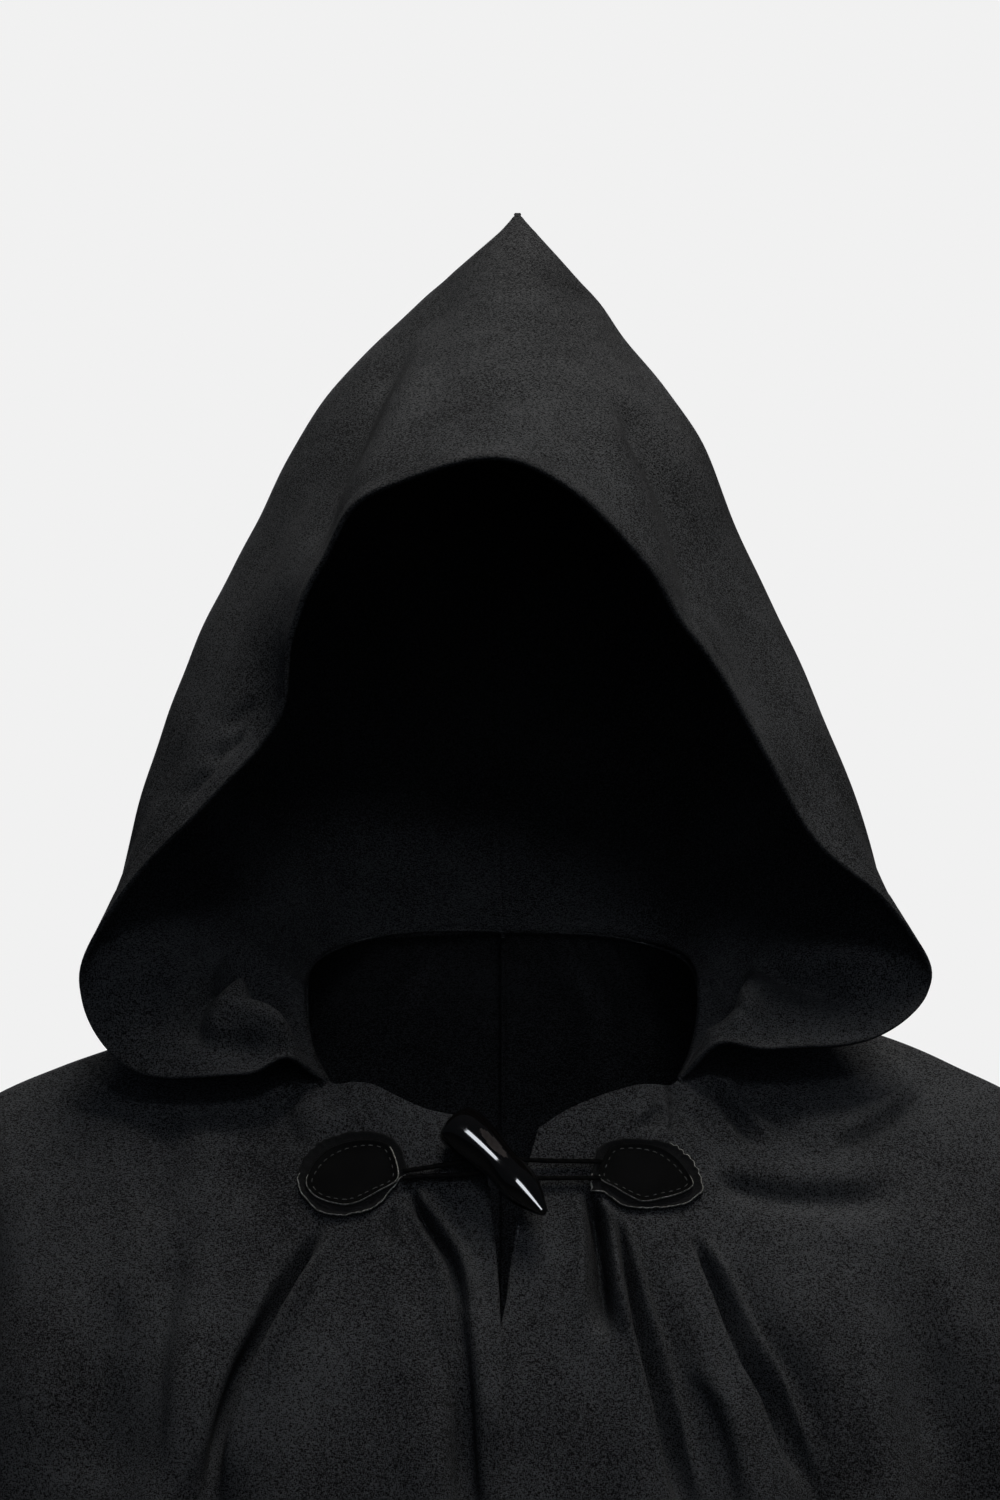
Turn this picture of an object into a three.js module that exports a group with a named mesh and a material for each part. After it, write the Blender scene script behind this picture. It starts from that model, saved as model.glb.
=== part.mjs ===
// A full-length hooded cloak, worn with the hood up and the neck closed by a horn toggle.
// Sizes are millimetres. +Z is up, the cloak's front faces -Y, and the wearer's left is +X.
// The origin is the middle of the neck opening, where the cloak sits on the wearer.
// Every cloth piece is a thin wall, open at the face, the neck and the hem.
import * as THREE from "three";
import { mergeVertices } from "three/addons/utils/BufferGeometryUtils.js";

const clothThickness = 2;
const seamGap = 0.3;
const degrees = Math.PI / 180;

// Level sections of the draped body, from the neck seam to the hem. down is the share of the way to the hem.
// halfWidth, front and back reach from the middle; the Z columns give the height of the ring at each side.
// square is the power of the rounded outline: 2 is an ellipse, more is squarer.
const bodySections = [
  { down: 0.0, halfWidth: 90, front: 72, back: 76, sideZ: 48, frontZ: -20, backZ: 70, square: 3.0 },
  { down: 0.03, halfWidth: 122, front: 86, back: 90, sideZ: 38, frontZ: -45, backZ: 50, square: 2.6 },
  { down: 0.06, halfWidth: 160, front: 99, back: 104, sideZ: 25, frontZ: -72, backZ: 24, square: 2.4 },
  { down: 0.1, halfWidth: 204, front: 112, back: 120, sideZ: 9, frontZ: -108, backZ: -14, square: 2.3 },
  { down: 0.14, halfWidth: 240, front: 122, back: 132, sideZ: -9, frontZ: -146, backZ: -58, square: 2.3 },
  { down: 0.18, halfWidth: 264, front: 130, back: 141, sideZ: -42, frontZ: -190, backZ: -106, square: 2.3 },
  { down: 0.23, halfWidth: 280, front: 137, back: 149, sideZ: -98, frontZ: -245, backZ: -166, square: 2.3 },
  { down: 0.3, halfWidth: 291, front: 146, back: 158, sideZ: -180, frontZ: -318, backZ: -248, square: 2.3 },
  { down: 0.42, halfWidth: 306, front: 160, back: 174, sideZ: -330, frontZ: -460, backZ: -400, square: 2.2 },
  { down: 0.6, halfWidth: 336, front: 188, back: 204, sideZ: -590, frontZ: -700, backZ: -650, square: 2.2 },
  { down: 0.8, halfWidth: 380, front: 226, back: 246, sideZ: -930, frontZ: -1010, backZ: -980, square: 2.2 },
  { down: 1.0, halfWidth: 424, front: 268, back: 292, sideZ: -1290, frontZ: -1350, backZ: -1360, square: 2.2 },
];
const shoulderRoll = 1.2; // how quickly a ring drops from the shoulder line to the front and back
const chestDown = 0.18;
// The neckline is pulled up and straight between the toggle and the hood.
const neckPull = { height: 9, share: 0.68, width: 0.22, down: 0.045 };

// The valley of each hanging fold, from the front edge round to the middle of the back. Angles are seen from
// above in degrees, 0 at the middle of the front. A fold begins at start, and is chestDepth deep at the chest
// and hemDepth at the hem. crease is 2 for a soft round valley and nearer 1 for a sharp one.
const backFolds = [
  { neck: 103, chest: 102, hem: 101, start: 0.12, chestDepth: 5, hemDepth: 29, crease: 1.8 },
  { neck: 118, chest: 117, hem: 118, start: 0.17, chestDepth: 3, hemDepth: 33, crease: 1.7 },
  { neck: 136, chest: 136, hem: 136, start: 0.1, chestDepth: 6, hemDepth: 31, crease: 1.7 },
  { neck: 153, chest: 152, hem: 153, start: 0.2, chestDepth: 3, hemDepth: 35, crease: 1.8 },
  { neck: 170, chest: 169, hem: 171, start: 0.13, chestDepth: 5, hemDepth: 30, crease: 1.7 },
];
const folds = {
  right: [
    { neck: 26, chest: 6, hem: 9, start: 0.035, chestDepth: 6, hemDepth: 28, crease: 1.4 },
    { neck: 36, chest: 26, hem: 27, start: 0.3, chestDepth: 0, hemDepth: 30, crease: 1.8 },
    { neck: 44, chest: 47, hem: 45, start: 0.05, chestDepth: 9, hemDepth: 34, crease: 1.3 },
    { neck: 62, chest: 59, hem: 61, start: 0.11, chestDepth: 5, hemDepth: 27, crease: 1.8 },
    { neck: 78, chest: 77, hem: 79, start: 0.13, chestDepth: 6, hemDepth: 31, crease: 1.8 },
    ...backFolds,
  ],
  left: [
    { neck: 20, chest: 15, hem: 12, start: 0.3, chestDepth: 0, hemDepth: 26, crease: 1.8 },
    { neck: 32, chest: 34, hem: 29, start: 0.035, chestDepth: 7, hemDepth: 31, crease: 1.4 },
    { neck: 44, chest: 50, hem: 46, start: 0.05, chestDepth: 9, hemDepth: 33, crease: 1.3 },
    { neck: 66, chest: 64, hem: 63, start: 0.1, chestDepth: 6, hemDepth: 28, crease: 1.8 },
    { neck: 79, chest: 79, hem: 80, start: 0.14, chestDepth: 5, hemDepth: 30, crease: 1.8 },
    ...backFolds,
  ],
};
const foldCount = folds.left.length;
const frontEdgeAt = 0.5; // places round the cloak are counted in folds: valley 1 is 1, ridges are the halves
const middleBackAt = foldCount + 0.5;

// How far each front edge lies from the middle, by height: open at the collar, meeting below the toggle.
const frontEdge = [
  { drop: 0, right: 22, left: 15 },
  { drop: 20, right: 13, left: 10 },
  { drop: 42, right: 4.6, left: 6.6 },
  { drop: 58, right: 2.4, left: 3.4 },
  { drop: 76, right: 0.7, left: 0.7 },
  { drop: 400, right: 0.7, left: 0.7 },
  { drop: 1400, right: 3, left: 3 },
];

// The hood's ribs run from the face edge round to the back seam, at places from the crown to the neck seam.
// Each has five stations: the face edge (right and left differ), the temple, the widest side, the rear and the seam.
const hoodRibs = [
  { along: 0.0, rightX: 0, rightZ: 284, leftX: 0, leftZ: 284, edgeY: -118, temple: [0, -50, 323], side: [0, 20, 359], rear: [0, 90, 396], seam: [117, 410] },
  { along: 0.07, rightX: 31, rightZ: 280, leftX: 30, leftZ: 275, edgeY: -116, temple: [33, -48, 313], side: [36, 15, 344], rear: [36, 94, 373], seam: [121, 373] },
  { along: 0.145, rightX: 64, rightZ: 264, leftX: 55, leftZ: 254, edgeY: -111, temple: [61, -48, 295], side: [67, 24, 329], rear: [57, 92, 347], seam: [123, 338] },
  { along: 0.22, rightX: 81, rightZ: 239, leftX: 76, leftZ: 225, edgeY: -104, temple: [83, -42, 270], side: [88, 30, 303], rear: [70, 94, 313], seam: [124, 305] },
  { along: 0.31, rightX: 96, rightZ: 204, leftX: 99, leftZ: 192, edgeY: -94, temple: [101, -45, 229], side: [107, 22, 263], rear: [79, 95, 278], seam: [123, 270] },
  { along: 0.4, rightX: 103, rightZ: 167, leftX: 119, leftZ: 154, edgeY: -85, temple: [118, -52, 190], side: [128, 8, 218], rear: [86, 95, 240], seam: [121, 235] },
  { along: 0.5, rightX: 132, rightZ: 131, leftX: 144, leftZ: 114, edgeY: -77, temple: [140, -54, 152], side: [146, -6, 174], rear: [91, 92, 203], seam: [118, 200] },
  { along: 0.6, rightX: 168, rightZ: 92, leftX: 173, leftZ: 83, edgeY: -60, temple: [166, -44, 108], side: [157, -12, 132], rear: [93, 88, 167], seam: [112, 166] },
  { along: 0.69, rightX: 192, rightZ: 46, leftX: 194, leftZ: 48, edgeY: -38, temple: [178, -36, 66], side: [158, -10, 96], rear: [90, 82, 136], seam: [106, 139] },
  { along: 0.79, rightX: 168, rightZ: 9, leftX: 168, leftZ: 24, edgeY: -48, temple: [156, -40, 46], side: [140, -8, 74], rear: [84, 76, 111], seam: [99, 115] },
  { along: 0.9, rightX: 117, rightZ: 8.5, leftX: 116, leftZ: 20, edgeY: -66, temple: [118, -46, 36], side: [116, -6, 56], rear: [74, 68, 88], seam: [90, 93] },
  { along: 0.95, rightX: 98, rightZ: 13, leftX: 97, leftZ: 18.5, edgeY: -63, temple: [103, -38, 33], side: [103, -2, 51], rear: [69, 63, 76], seam: [84, 82] },
  { along: 1.0, rightX: 79, rightZ: 2, leftX: 79, leftZ: 2, edgeY: -50, temple: [88, -28, 24], side: [90, 2, 46], rear: [64, 58, 64], seam: [77, 71] },
];
// The hood hangs a little to one side, and its point tips to the other.
const hoodSway = [
  { z: 60, x: 0 },
  { z: 150, x: -3 },
  { z: 230, x: -5 },
  { z: 300, x: -3 },
  { z: 345, x: 1 },
  { z: 400, x: 7 },
];
const hoodNeckAngles = [58, 73, 91, 132, 180]; // where the five stations meet the neck seam
const neckBlend = 0.9; // along the ribs, from where the hood draws in to the neck seam
const neckSeamLift = 0.9; // keeps the hood's lower edge clear of the body's neck edge

// The toggle's two patches. The outline is seen from the front, with u towards the toggle and v up.
const patch = {
  centreOut: 70,
  centreZ: -37.5,
  leather: 1.2,
  backing: 1,
  margin: 4.5,
  outline: [
    [24, -2],
    [22, 12],
    [10, 14],
    [-2, 11],
    [-12, 5],
    [-17, -4],
    [-12, -11.5],
    [0, -13],
    [12, -8.5],
  ],
};

// The horn toggle lies slanting over the closing, its thick end up and to the wearer's right.
const toggle = {
  thickEnd: [-22.5, -10.5],
  thinEnd: [19.5, -51.5],
  behind: 14, // from the cloth at the closing to the toggle's axis
  profile: [
    { along: 0.0, radius: 0 },
    { along: 0.012, radius: 4.5 },
    { along: 0.04, radius: 7.2 },
    { along: 0.1, radius: 8.6 },
    { along: 0.25, radius: 8.8 },
    { along: 0.34, radius: 8.2 },
    { along: 0.4, radius: 6.3 },
    { along: 0.5, radius: 6.0 },
    { along: 0.56, radius: 7.4 },
    { along: 0.68, radius: 6.7 },
    { along: 0.84, radius: 4.7 },
    { along: 0.95, radius: 3.0 },
    { along: 0.99, radius: 1.8 },
    { along: 1.0, radius: 0 },
  ],
};

// Each cord is one loop of two strands: out from its patch, round behind the toggle's waist and back.
// Routes are points by hand: x and z in the front view, and how far above the cloth.
const cordDiameter = 2.2;
const cordRoutes = {
  right: [
    [-44.9, -34.2, 3],
    [-41, -33.7, 3],
    [-33, -32.4, 2.8],
    [-24, -31, 3],
    [-15, -29.4, 3.6],
    [-8, -28, 4],
    [-4.8, -29.2, 4],
    [-5, -32, 4],
    [-9, -34, 4],
    [-16, -35.3, 3.6],
    [-25, -36, 3],
    [-34, -36.2, 2.8],
    [-41, -36.8, 3],
    [-44.9, -37.4, 3],
  ],
  left: [
    [44.9, -30, 3],
    [41, -29.9, 3],
    [34, -29.8, 2.8],
    [24, -29.7, 3],
    [12, -29.3, 3.6],
    [3.5, -28.9, 4],
    [-0.8, -30.4, 4],
    [-0.6, -34, 4],
    [4.5, -36.4, 4],
    [13, -37.1, 3.6],
    [24, -37.2, 3],
    [34, -37.1, 2.8],
    [41, -37.1, 3],
    [44.9, -37.1, 3],
  ],
};

// A smooth curve through the rows of a table: the value of read(row) where key reaches at.
function through(rows, key, at, read) {
  let i = 0;
  while (i < rows.length - 2 && at > rows[i + 1][key]) i += 1;
  const [p, q] = [rows[i], rows[i + 1]];
  const before = rows[i - 1] ?? p;
  const after = rows[i + 2] ?? q;
  const span = q[key] - p[key];
  const slopeIn = ((read(q) - read(before)) / (q[key] - before[key])) * span;
  const slopeOut = ((read(after) - read(p)) / (after[key] - p[key])) * span;
  const t = (at - p[key]) / span;
  const t2 = t * t;
  const t3 = t2 * t;
  return (
    read(p) * (2 * t3 - 3 * t2 + 1) + slopeIn * (t3 - 2 * t2 + t) + read(q) * (3 * t2 - 2 * t3) + slopeOut * (t3 - t2)
  );
}

const ease = (t) => {
  const c = Math.min(1, Math.max(0, t));
  return c * c * (3 - 2 * c);
};
const minus = (a, b) => [a[0] - b[0], a[1] - b[1], a[2] - b[2]];
const moved = (a, direction, by) => [a[0] + direction[0] * by, a[1] + direction[1] * by, a[2] + direction[2] * by];
const cross = (a, b) => [a[1] * b[2] - a[2] * b[1], a[2] * b[0] - a[0] * b[2], a[0] * b[1] - a[1] * b[0]];
const unit = (a) => {
  const length = Math.hypot(...a) || 1;
  return a.map((c) => c / length);
};

// A point on the smooth drape, before its folds. side is +1 on the wearer's left and -1 on the right.
function drapePoint(side, angle, down) {
  const at = (name) => through(bodySections, "down", down, (row) => row[name]);
  const across = Math.sin(angle * degrees);
  const ahead = Math.cos(angle * degrees);
  const depth = ahead > 0 ? at("front") : at("back");
  const power = at("square");
  const reach =
    (Math.abs(across / at("halfWidth")) ** power + Math.abs(ahead / depth) ** power) ** (-1 / power);
  const share = Math.abs(reach * ahead) / depth;
  const endZ = ahead > 0 ? at("frontZ") : at("backZ");
  const z = at("sideZ") + (endZ - at("sideZ")) * share ** shoulderRoll;
  const pull = ahead > 0 ? ease((share - neckPull.share) / neckPull.width) * (1 - ease(down / neckPull.down)) : 0;
  return [side * reach * across, -reach * ahead, z + neckPull.height * pull];
}

function foldAngle(fold, down) {
  if (down < chestDown) return fold.neck + (fold.chest - fold.neck) * ease(down / chestDown);
  return fold.chest + (fold.hem - fold.chest) * ease((down - chestDown) / (1 - chestDown));
}

function foldDepth(fold, down) {
  const chest = fold.start < chestDown ? fold.chestDepth * ease((down - fold.start) / (chestDown - fold.start)) : 0;
  const from = Math.max(fold.start, chestDown);
  const growth = Math.min(1, Math.max(0, (down - from) / (1 - from)));
  return chest + (fold.hemDepth - fold.chestDepth) * ease(growth ** 0.8);
}

function frontEdgeAngle(name, down) {
  const front = through(bodySections, "down", down, (row) => row.front);
  const drop = -20 - through(bodySections, "down", down, (row) => row.frontZ);
  const away = through(frontEdge, "drop", drop, (row) => row[name]);
  return Math.atan2(away, front) / degrees;
}

// The angle at a place counted in folds, at one height.
function placeAngle(name, place, down) {
  const marks = [
    { at: frontEdgeAt, angle: frontEdgeAngle(name, down) },
    ...folds[name].map((fold, i) => ({ at: i + 1, angle: foldAngle(fold, down) })),
    { at: middleBackAt, angle: 180 },
  ];
  return through(marks, "at", place, (mark) => mark.angle);
}

// A point on the folded cloth. Past the middle of the back it carries on round the other side.
function bodyPoint(side, place, down) {
  if (place > middleBackAt) return bodyPoint(-side, 2 * middleBackAt - place, down);
  const name = side > 0 ? "left" : "right";
  const angle = placeAngle(name, place, down);
  const base = drapePoint(side, angle, down);
  const step = 0.4;
  const along = minus(drapePoint(side, angle + step, down), drapePoint(side, angle - step, down));
  const high = Math.max(0, down - 0.004);
  const low = Math.min(1, down + 0.004);
  const outward = unit(cross(along, minus(drapePoint(side, angle, high), drapePoint(side, angle, low))));
  const first = Math.min(foldCount, Math.max(1, Math.floor(place)));
  const second = Math.min(foldCount, first + 1);
  const mix = Math.min(1, Math.max(0, place - first));
  const blend = (a, b) => a + (b - a) * mix;
  const [one, two] = [folds[name][first - 1], folds[name][second - 1]];
  const depth = blend(foldDepth(one, down), foldDepth(two, down));
  const crease = blend(one.crease, two.crease);
  const wave = 2 * Math.abs(Math.sin(Math.PI * place)) ** crease - 1;
  return moved(base, outward, side * depth * wave);
}

function bodyNormal(side, place, down) {
  const across = minus(bodyPoint(side, place + 0.02, down), bodyPoint(side, Math.max(frontEdgeAt, place - 0.02), down));
  const high = bodyPoint(side, place, Math.max(0, down - 0.003));
  const low = bodyPoint(side, place, Math.min(1, down + 0.003));
  const normal = unit(cross(across, minus(high, low)));
  return side > 0 ? normal : normal.map((c) => -c);
}

// Row heights crowd towards the neck, where the drape bends most.
const bodyRows = 18;
const rowDown = (row) => (row / bodyRows) ** 1.5;

// A closed wall on a grid of outer points, each with its outward normal.
function wallGeometry(outer, normals, thickness) {
  const rows = outer.length;
  const columns = outer[0].length;
  const inner = outer.map((row, i) => row.map((point, j) => moved(point, normals[i][j], -thickness)));
  const corners = [];
  const quad = (a, b, c, d) => corners.push(...a, ...b, ...c, ...a, ...c, ...d);
  for (let i = 0; i + 1 < rows; i += 1) {
    for (let j = 0; j + 1 < columns; j += 1) {
      quad(outer[i][j], outer[i + 1][j], outer[i + 1][j + 1], outer[i][j + 1]);
      quad(inner[i][j], inner[i][j + 1], inner[i + 1][j + 1], inner[i + 1][j]);
    }
    quad(outer[i + 1][0], outer[i][0], inner[i][0], inner[i + 1][0]);
    const last = columns - 1;
    quad(outer[i][last], outer[i + 1][last], inner[i + 1][last], inner[i][last]);
  }
  for (let j = 0; j + 1 < columns; j += 1) {
    quad(outer[0][j], outer[0][j + 1], inner[0][j + 1], inner[0][j]);
    const last = rows - 1;
    quad(outer[last][j + 1], outer[last][j], inner[last][j], inner[last][j + 1]);
  }
  return solidGeometry(corners);
}

// A triangle list as an indexed geometry without its empty triangles.
function solidGeometry(corners) {
  const flat = new THREE.BufferGeometry();
  flat.setAttribute("position", new THREE.Float32BufferAttribute(corners, 3));
  const merged = mergeVertices(flat, 0.002);
  const kept = [];
  for (let i = 0; i < merged.index.count; i += 3) {
    const [a, b, c] = [0, 1, 2].map((k) => merged.index.getX(i + k));
    if (a !== b && b !== c && c !== a) kept.push(a, b, c);
  }
  merged.setIndex(kept);
  merged.computeVertexNormals();
  return merged;
}

// A body panel between two places, with the same number of columns in every fold.
function panelGeometry(side, from, to, columnsPerFold) {
  const columns = Math.round((to - from) * columnsPerFold);
  const outer = [];
  const normals = [];
  for (let row = 0; row <= bodyRows; row += 1) {
    const down = rowDown(row);
    const places = Array.from({ length: columns + 1 }, (_, j) => from + ((to - from) * j) / columns);
    outer.push(places.map((place) => bodyPoint(side, place, down)));
    normals.push(places.map((place) => bodyNormal(side, place, down)));
  }
  // Seen from outside, a left panel runs from left to right as its place grows, and a right one the other way.
  if (side < 0) {
    outer.forEach((row) => row.reverse());
    normals.forEach((row) => row.reverse());
  }
  return wallGeometry(outer, normals, clothThickness);
}

// The hood as one cut piece over the crown, sewn to itself down the back. across runs from -1 at the right
// end of the neck seam over the crown to +1 at the left end, and round from 0 at the face edge to 1 at the seam.
function hoodStation(across, read) {
  const rows = [
    ...hoodRibs.slice(1).reverse().map((rib) => ({ at: -rib.along, value: read(rib, -1) })),
    ...hoodRibs.map((rib) => ({ at: rib.along, value: read(rib, 1) })),
  ];
  return through(rows, "at", across, (row) => row.value);
}

function hoodTablePoint(across, round) {
  const edge = [
    hoodStation(across, (rib, side) => (side < 0 ? -rib.rightX : rib.leftX)),
    hoodStation(across, (rib) => rib.edgeY),
    hoodStation(across, (rib, side) => (side < 0 ? rib.rightZ : rib.leftZ)),
  ];
  const inner = (name, at) => [
    hoodStation(at, (rib, side) => side * rib[name][0]),
    hoodStation(at, (rib) => rib[name][1]),
    hoodStation(at, (rib) => rib[name][2]),
  ];
  const seam = [0, hoodStation(across, (rib) => rib.seam[0]), hoodStation(across, (rib) => rib.seam[1])];
  const stations = [edge, inner("temple", across), inner("side", across), inner("rear", across), seam, inner("rear", -across)];
  const rows = stations.map((point, i) => ({ at: i / 4, point }));
  const [x, y, z] = [0, 1, 2].map((k) => through(rows, "at", round, (row) => row.point[k]));
  const sway = through(hoodSway, "z", Math.min(400, Math.max(60, z)), (row) => row.x);
  return [x + sway * ease(round * 4), y, z];
}

function neckSeamPoint(side, round) {
  const rows = hoodNeckAngles.map((angle, i) => ({ at: i / 4, angle }));
  const point = drapePoint(side, through(rows, "at", round, (row) => row.angle), 0);
  return [point[0], point[1], point[2] + neckSeamLift];
}

function hoodPoint(across, round) {
  const point = hoodTablePoint(across, round);
  if (Math.abs(across) <= neckBlend) return point;
  const side = Math.sign(across);
  const miss = minus(neckSeamPoint(side, round), hoodTablePoint(side, round));
  return moved(point, miss, ease((Math.abs(across) - neckBlend) / (1 - neckBlend)));
}

function hoodNormal(across, round) {
  if (round > 0.999) {
    const near = 0.93;
    const [a, b] = [hoodPoint(across, near), hoodPoint(-across, near)];
    const inside = [(a[0] + b[0]) / 2, (a[1] + b[1]) / 2, (a[2] + b[2]) / 2];
    const out = minus(hoodPoint(across, 1), inside);
    return unit([0, out[1], out[2]]);
  }
  const a = hoodPoint(Math.min(1, across + 0.01), round);
  const b = hoodPoint(Math.max(-1, across - 0.01), round);
  const c = hoodPoint(across, Math.min(1, round + 0.01));
  const d = hoodPoint(across, Math.max(0, round - 0.01));
  return unit(cross(minus(a, b), minus(c, d)));
}

function hoodGeometry(acrossSteps, roundSteps) {
  const outer = [];
  const normals = [];
  for (let i = 0; i <= roundSteps; i += 1) {
    const spread = Array.from({ length: acrossSteps + 1 }, (_, j) => -1 + (2 * j) / acrossSteps);
    outer.push(spread.map((across) => hoodPoint(across, i / roundSteps)));
    normals.push(spread.map((across) => hoodNormal(across, i / roundSteps)));
  }
  return hoodWall(outer, normals);
}

// As wallGeometry, but the last row is folded in half and sewn to itself, so it has no rim.
function hoodWall(outer, normals) {
  const rows = outer.length;
  const columns = outer[0].length;
  const inner = outer.map((row, i) => row.map((point, j) => moved(point, normals[i][j], -clothThickness)));
  const corners = [];
  const quad = (a, b, c, d) => corners.push(...a, ...b, ...c, ...a, ...c, ...d);
  for (let i = 0; i + 1 < rows; i += 1) {
    for (let j = 0; j + 1 < columns; j += 1) {
      quad(outer[i][j], outer[i][j + 1], outer[i + 1][j + 1], outer[i + 1][j]);
      quad(inner[i][j], inner[i + 1][j], inner[i + 1][j + 1], inner[i][j + 1]);
    }
    const last = columns - 1;
    quad(outer[i][0], outer[i + 1][0], inner[i + 1][0], inner[i][0]);
    quad(outer[i + 1][last], outer[i][last], inner[i][last], inner[i + 1][last]);
  }
  for (let j = 0; j + 1 < columns; j += 1) quad(outer[0][j + 1], outer[0][j], inner[0][j], inner[0][j + 1]);
  return solidGeometry(corners);
}

// The point and normal of a front panel's outside that show at a place in the front view.
function panelAt(side, x, z) {
  let place = 1.5;
  let down = 0.05;
  for (let i = 0; i < 30; i += 1) {
    const here = bodyPoint(side, place, down);
    const byPlace = minus(bodyPoint(side, place + 0.01, down), here).map((c) => c / 0.01);
    const byDown = minus(bodyPoint(side, place, down + 0.001), here).map((c) => c / 0.001);
    const [missX, missZ] = [x - here[0], z - here[2]];
    const area = byPlace[0] * byDown[2] - byPlace[2] * byDown[0];
    place += (missX * byDown[2] - missZ * byDown[0]) / area;
    down += (byPlace[0] * missZ - byPlace[2] * missX) / area;
    place = Math.min(4, Math.max(frontEdgeAt, place));
    down = Math.min(0.3, Math.max(0, down));
  }
  return { point: bodyPoint(side, place, down), normal: bodyNormal(side, place, down) };
}

function patchOutline(grow, count) {
  const centre = new THREE.Vector2(2, 0);
  const points = patch.outline.map(([u, v]) => {
    const away = new THREE.Vector2(u, v).sub(centre);
    const longer = away.clone().setLength(away.length() + grow).add(centre);
    return new THREE.Vector3(longer.x, longer.y, 0);
  });
  return new THREE.CatmullRomCurve3(points, true).getSpacedPoints(count).slice(0, count);
}

// A patch layer from under to over above the cloth: rings of points from its middle to its outline.
function patchGeometry(side, grow, under, over) {
  const outline = patchOutline(grow, 24);
  const rings = [0.4, 0.75, 1];
  const layer = (height) =>
    rings.map((share) =>
      outline.map((p) => {
        const u = 2 + (p.x - 2) * share;
        const { point, normal } = panelAt(side, side * (patch.centreOut - u), patch.centreZ + p.y * share);
        return moved(point, normal, height);
      }),
    );
  const middle = (height) => {
    const { point, normal } = panelAt(side, side * (patch.centreOut - 2), patch.centreZ);
    return moved(point, normal, height);
  };
  const [top, bottom] = [layer(over), layer(under)];
  const corners = [];
  const face = (a, b, c) => (side > 0 ? corners.push(...a, ...c, ...b) : corners.push(...a, ...b, ...c));
  const quad = (a, b, c, d) => {
    face(a, b, c);
    face(a, c, d);
  };
  for (let j = 0; j < outline.length; j += 1) {
    const k = (j + 1) % outline.length;
    face(middle(over), top[0][j], top[0][k]);
    face(middle(under), bottom[0][k], bottom[0][j]);
    for (let i = 0; i + 1 < rings.length; i += 1) {
      quad(top[i][j], top[i + 1][j], top[i + 1][k], top[i][k]);
      quad(bottom[i][k], bottom[i + 1][k], bottom[i + 1][j], bottom[i][j]);
    }
    const rim = rings.length - 1;
    quad(top[rim][j], bottom[rim][j], bottom[rim][k], top[rim][k]);
  }
  return solidGeometry(corners);
}

// The toggle leans back with the chest: the depth of its axis at a height.
function toggleDepth(z) {
  const low = panelAt(1, 12, -46).point;
  const high = panelAt(1, 12, -30).point;
  const slope = (high[1] - low[1]) / (high[2] - low[2]);
  return low[1] + slope * (z - low[2]) - toggle.behind;
}

function toggleMesh() {
  const [x0, z0] = toggle.thickEnd;
  const [x1, z1] = toggle.thinEnd;
  const start = new THREE.Vector3(x0, toggleDepth(z0), z0);
  const end = new THREE.Vector3(x1, toggleDepth(z1), z1);
  const length = start.distanceTo(end);
  const profile = toggle.profile.map(({ along, radius }) => new THREE.Vector2(radius, along * length));
  const mesh = new THREE.Mesh(new THREE.LatheGeometry(profile, 18));
  mesh.position.copy(start);
  mesh.quaternion.setFromUnitVectors(new THREE.Vector3(0, 1, 0), end.sub(start).normalize());
  return mesh;
}

function cordGeometry(route) {
  const points = route.map(([x, z, above]) => {
    const side = Math.sign(x);
    const cloth = panelAt(side, side * Math.max(12, Math.abs(x)), z).point;
    return new THREE.Vector3(x, cloth[1] - above, z);
  });
  const section = new THREE.Shape();
  section.absarc(0, 0, cordDiameter / 2, 0, 2 * Math.PI);
  const curve = new THREE.CatmullRomCurve3(points);
  const extruded = new THREE.ExtrudeGeometry(section, { steps: 34, curveSegments: 4, bevelEnabled: false, extrudePath: curve });
  return extruded;
}

const materials = {
  cloth: new THREE.MeshStandardMaterial({ color: 0x24262a, roughness: 0.95 }),
  leather: new THREE.MeshStandardMaterial({ color: 0x16130f, roughness: 0.6 }),
  backing: new THREE.MeshStandardMaterial({ color: 0x17181a, roughness: 0.95 }),
  horn: new THREE.MeshStandardMaterial({ color: 0x050505, roughness: 0.12 }),
  cord: new THREE.MeshStandardMaterial({ color: 0x0c0c0d, roughness: 0.8 }),
};

const cloak = new THREE.Group();

function addPiece(name, shape, material) {
  const mesh = shape.isMesh ? shape : new THREE.Mesh(shape);
  mesh.name = name;
  mesh.material = material;
  cloak.add(mesh);
}

const seamShare = 0.004; // half the seam gap, counted in folds
addPiece("body_right", panelGeometry(-1, frontEdgeAt, middleBackAt - seamShare, 5), materials.cloth);
addPiece("body_left", panelGeometry(1, frontEdgeAt, middleBackAt - seamShare, 5), materials.cloth);
addPiece("hood", hoodGeometry(36, 12), materials.cloth);
for (const [name, side] of [
  ["right", -1],
  ["left", 1],
]) {
  const top = seamGap + patch.backing;
  addPiece(`patch_backing_${name}`, patchGeometry(side, patch.margin, seamGap, top), materials.backing);
  addPiece(`patch_leather_${name}`, patchGeometry(side, 0, top + seamGap, top + seamGap + patch.leather), materials.leather);
  addPiece(`toggle_cord_${name}`, cordGeometry(cordRoutes[name]), materials.cord);
}
addPiece("toggle", toggleMesh(), materials.horn);

export default cloak;
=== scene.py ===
# A hooded wool cloak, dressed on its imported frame.
# Shapes are worked out in millimetres, as on the pattern, and turned to metres when a mesh is made.
# +Z is up, the front faces -Y and the wearer's left is +X.
import math

import bmesh
import bpy
import numpy as np
from mathutils import Matrix, Vector
from mathutils.bvhtree import BVHTree


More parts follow.
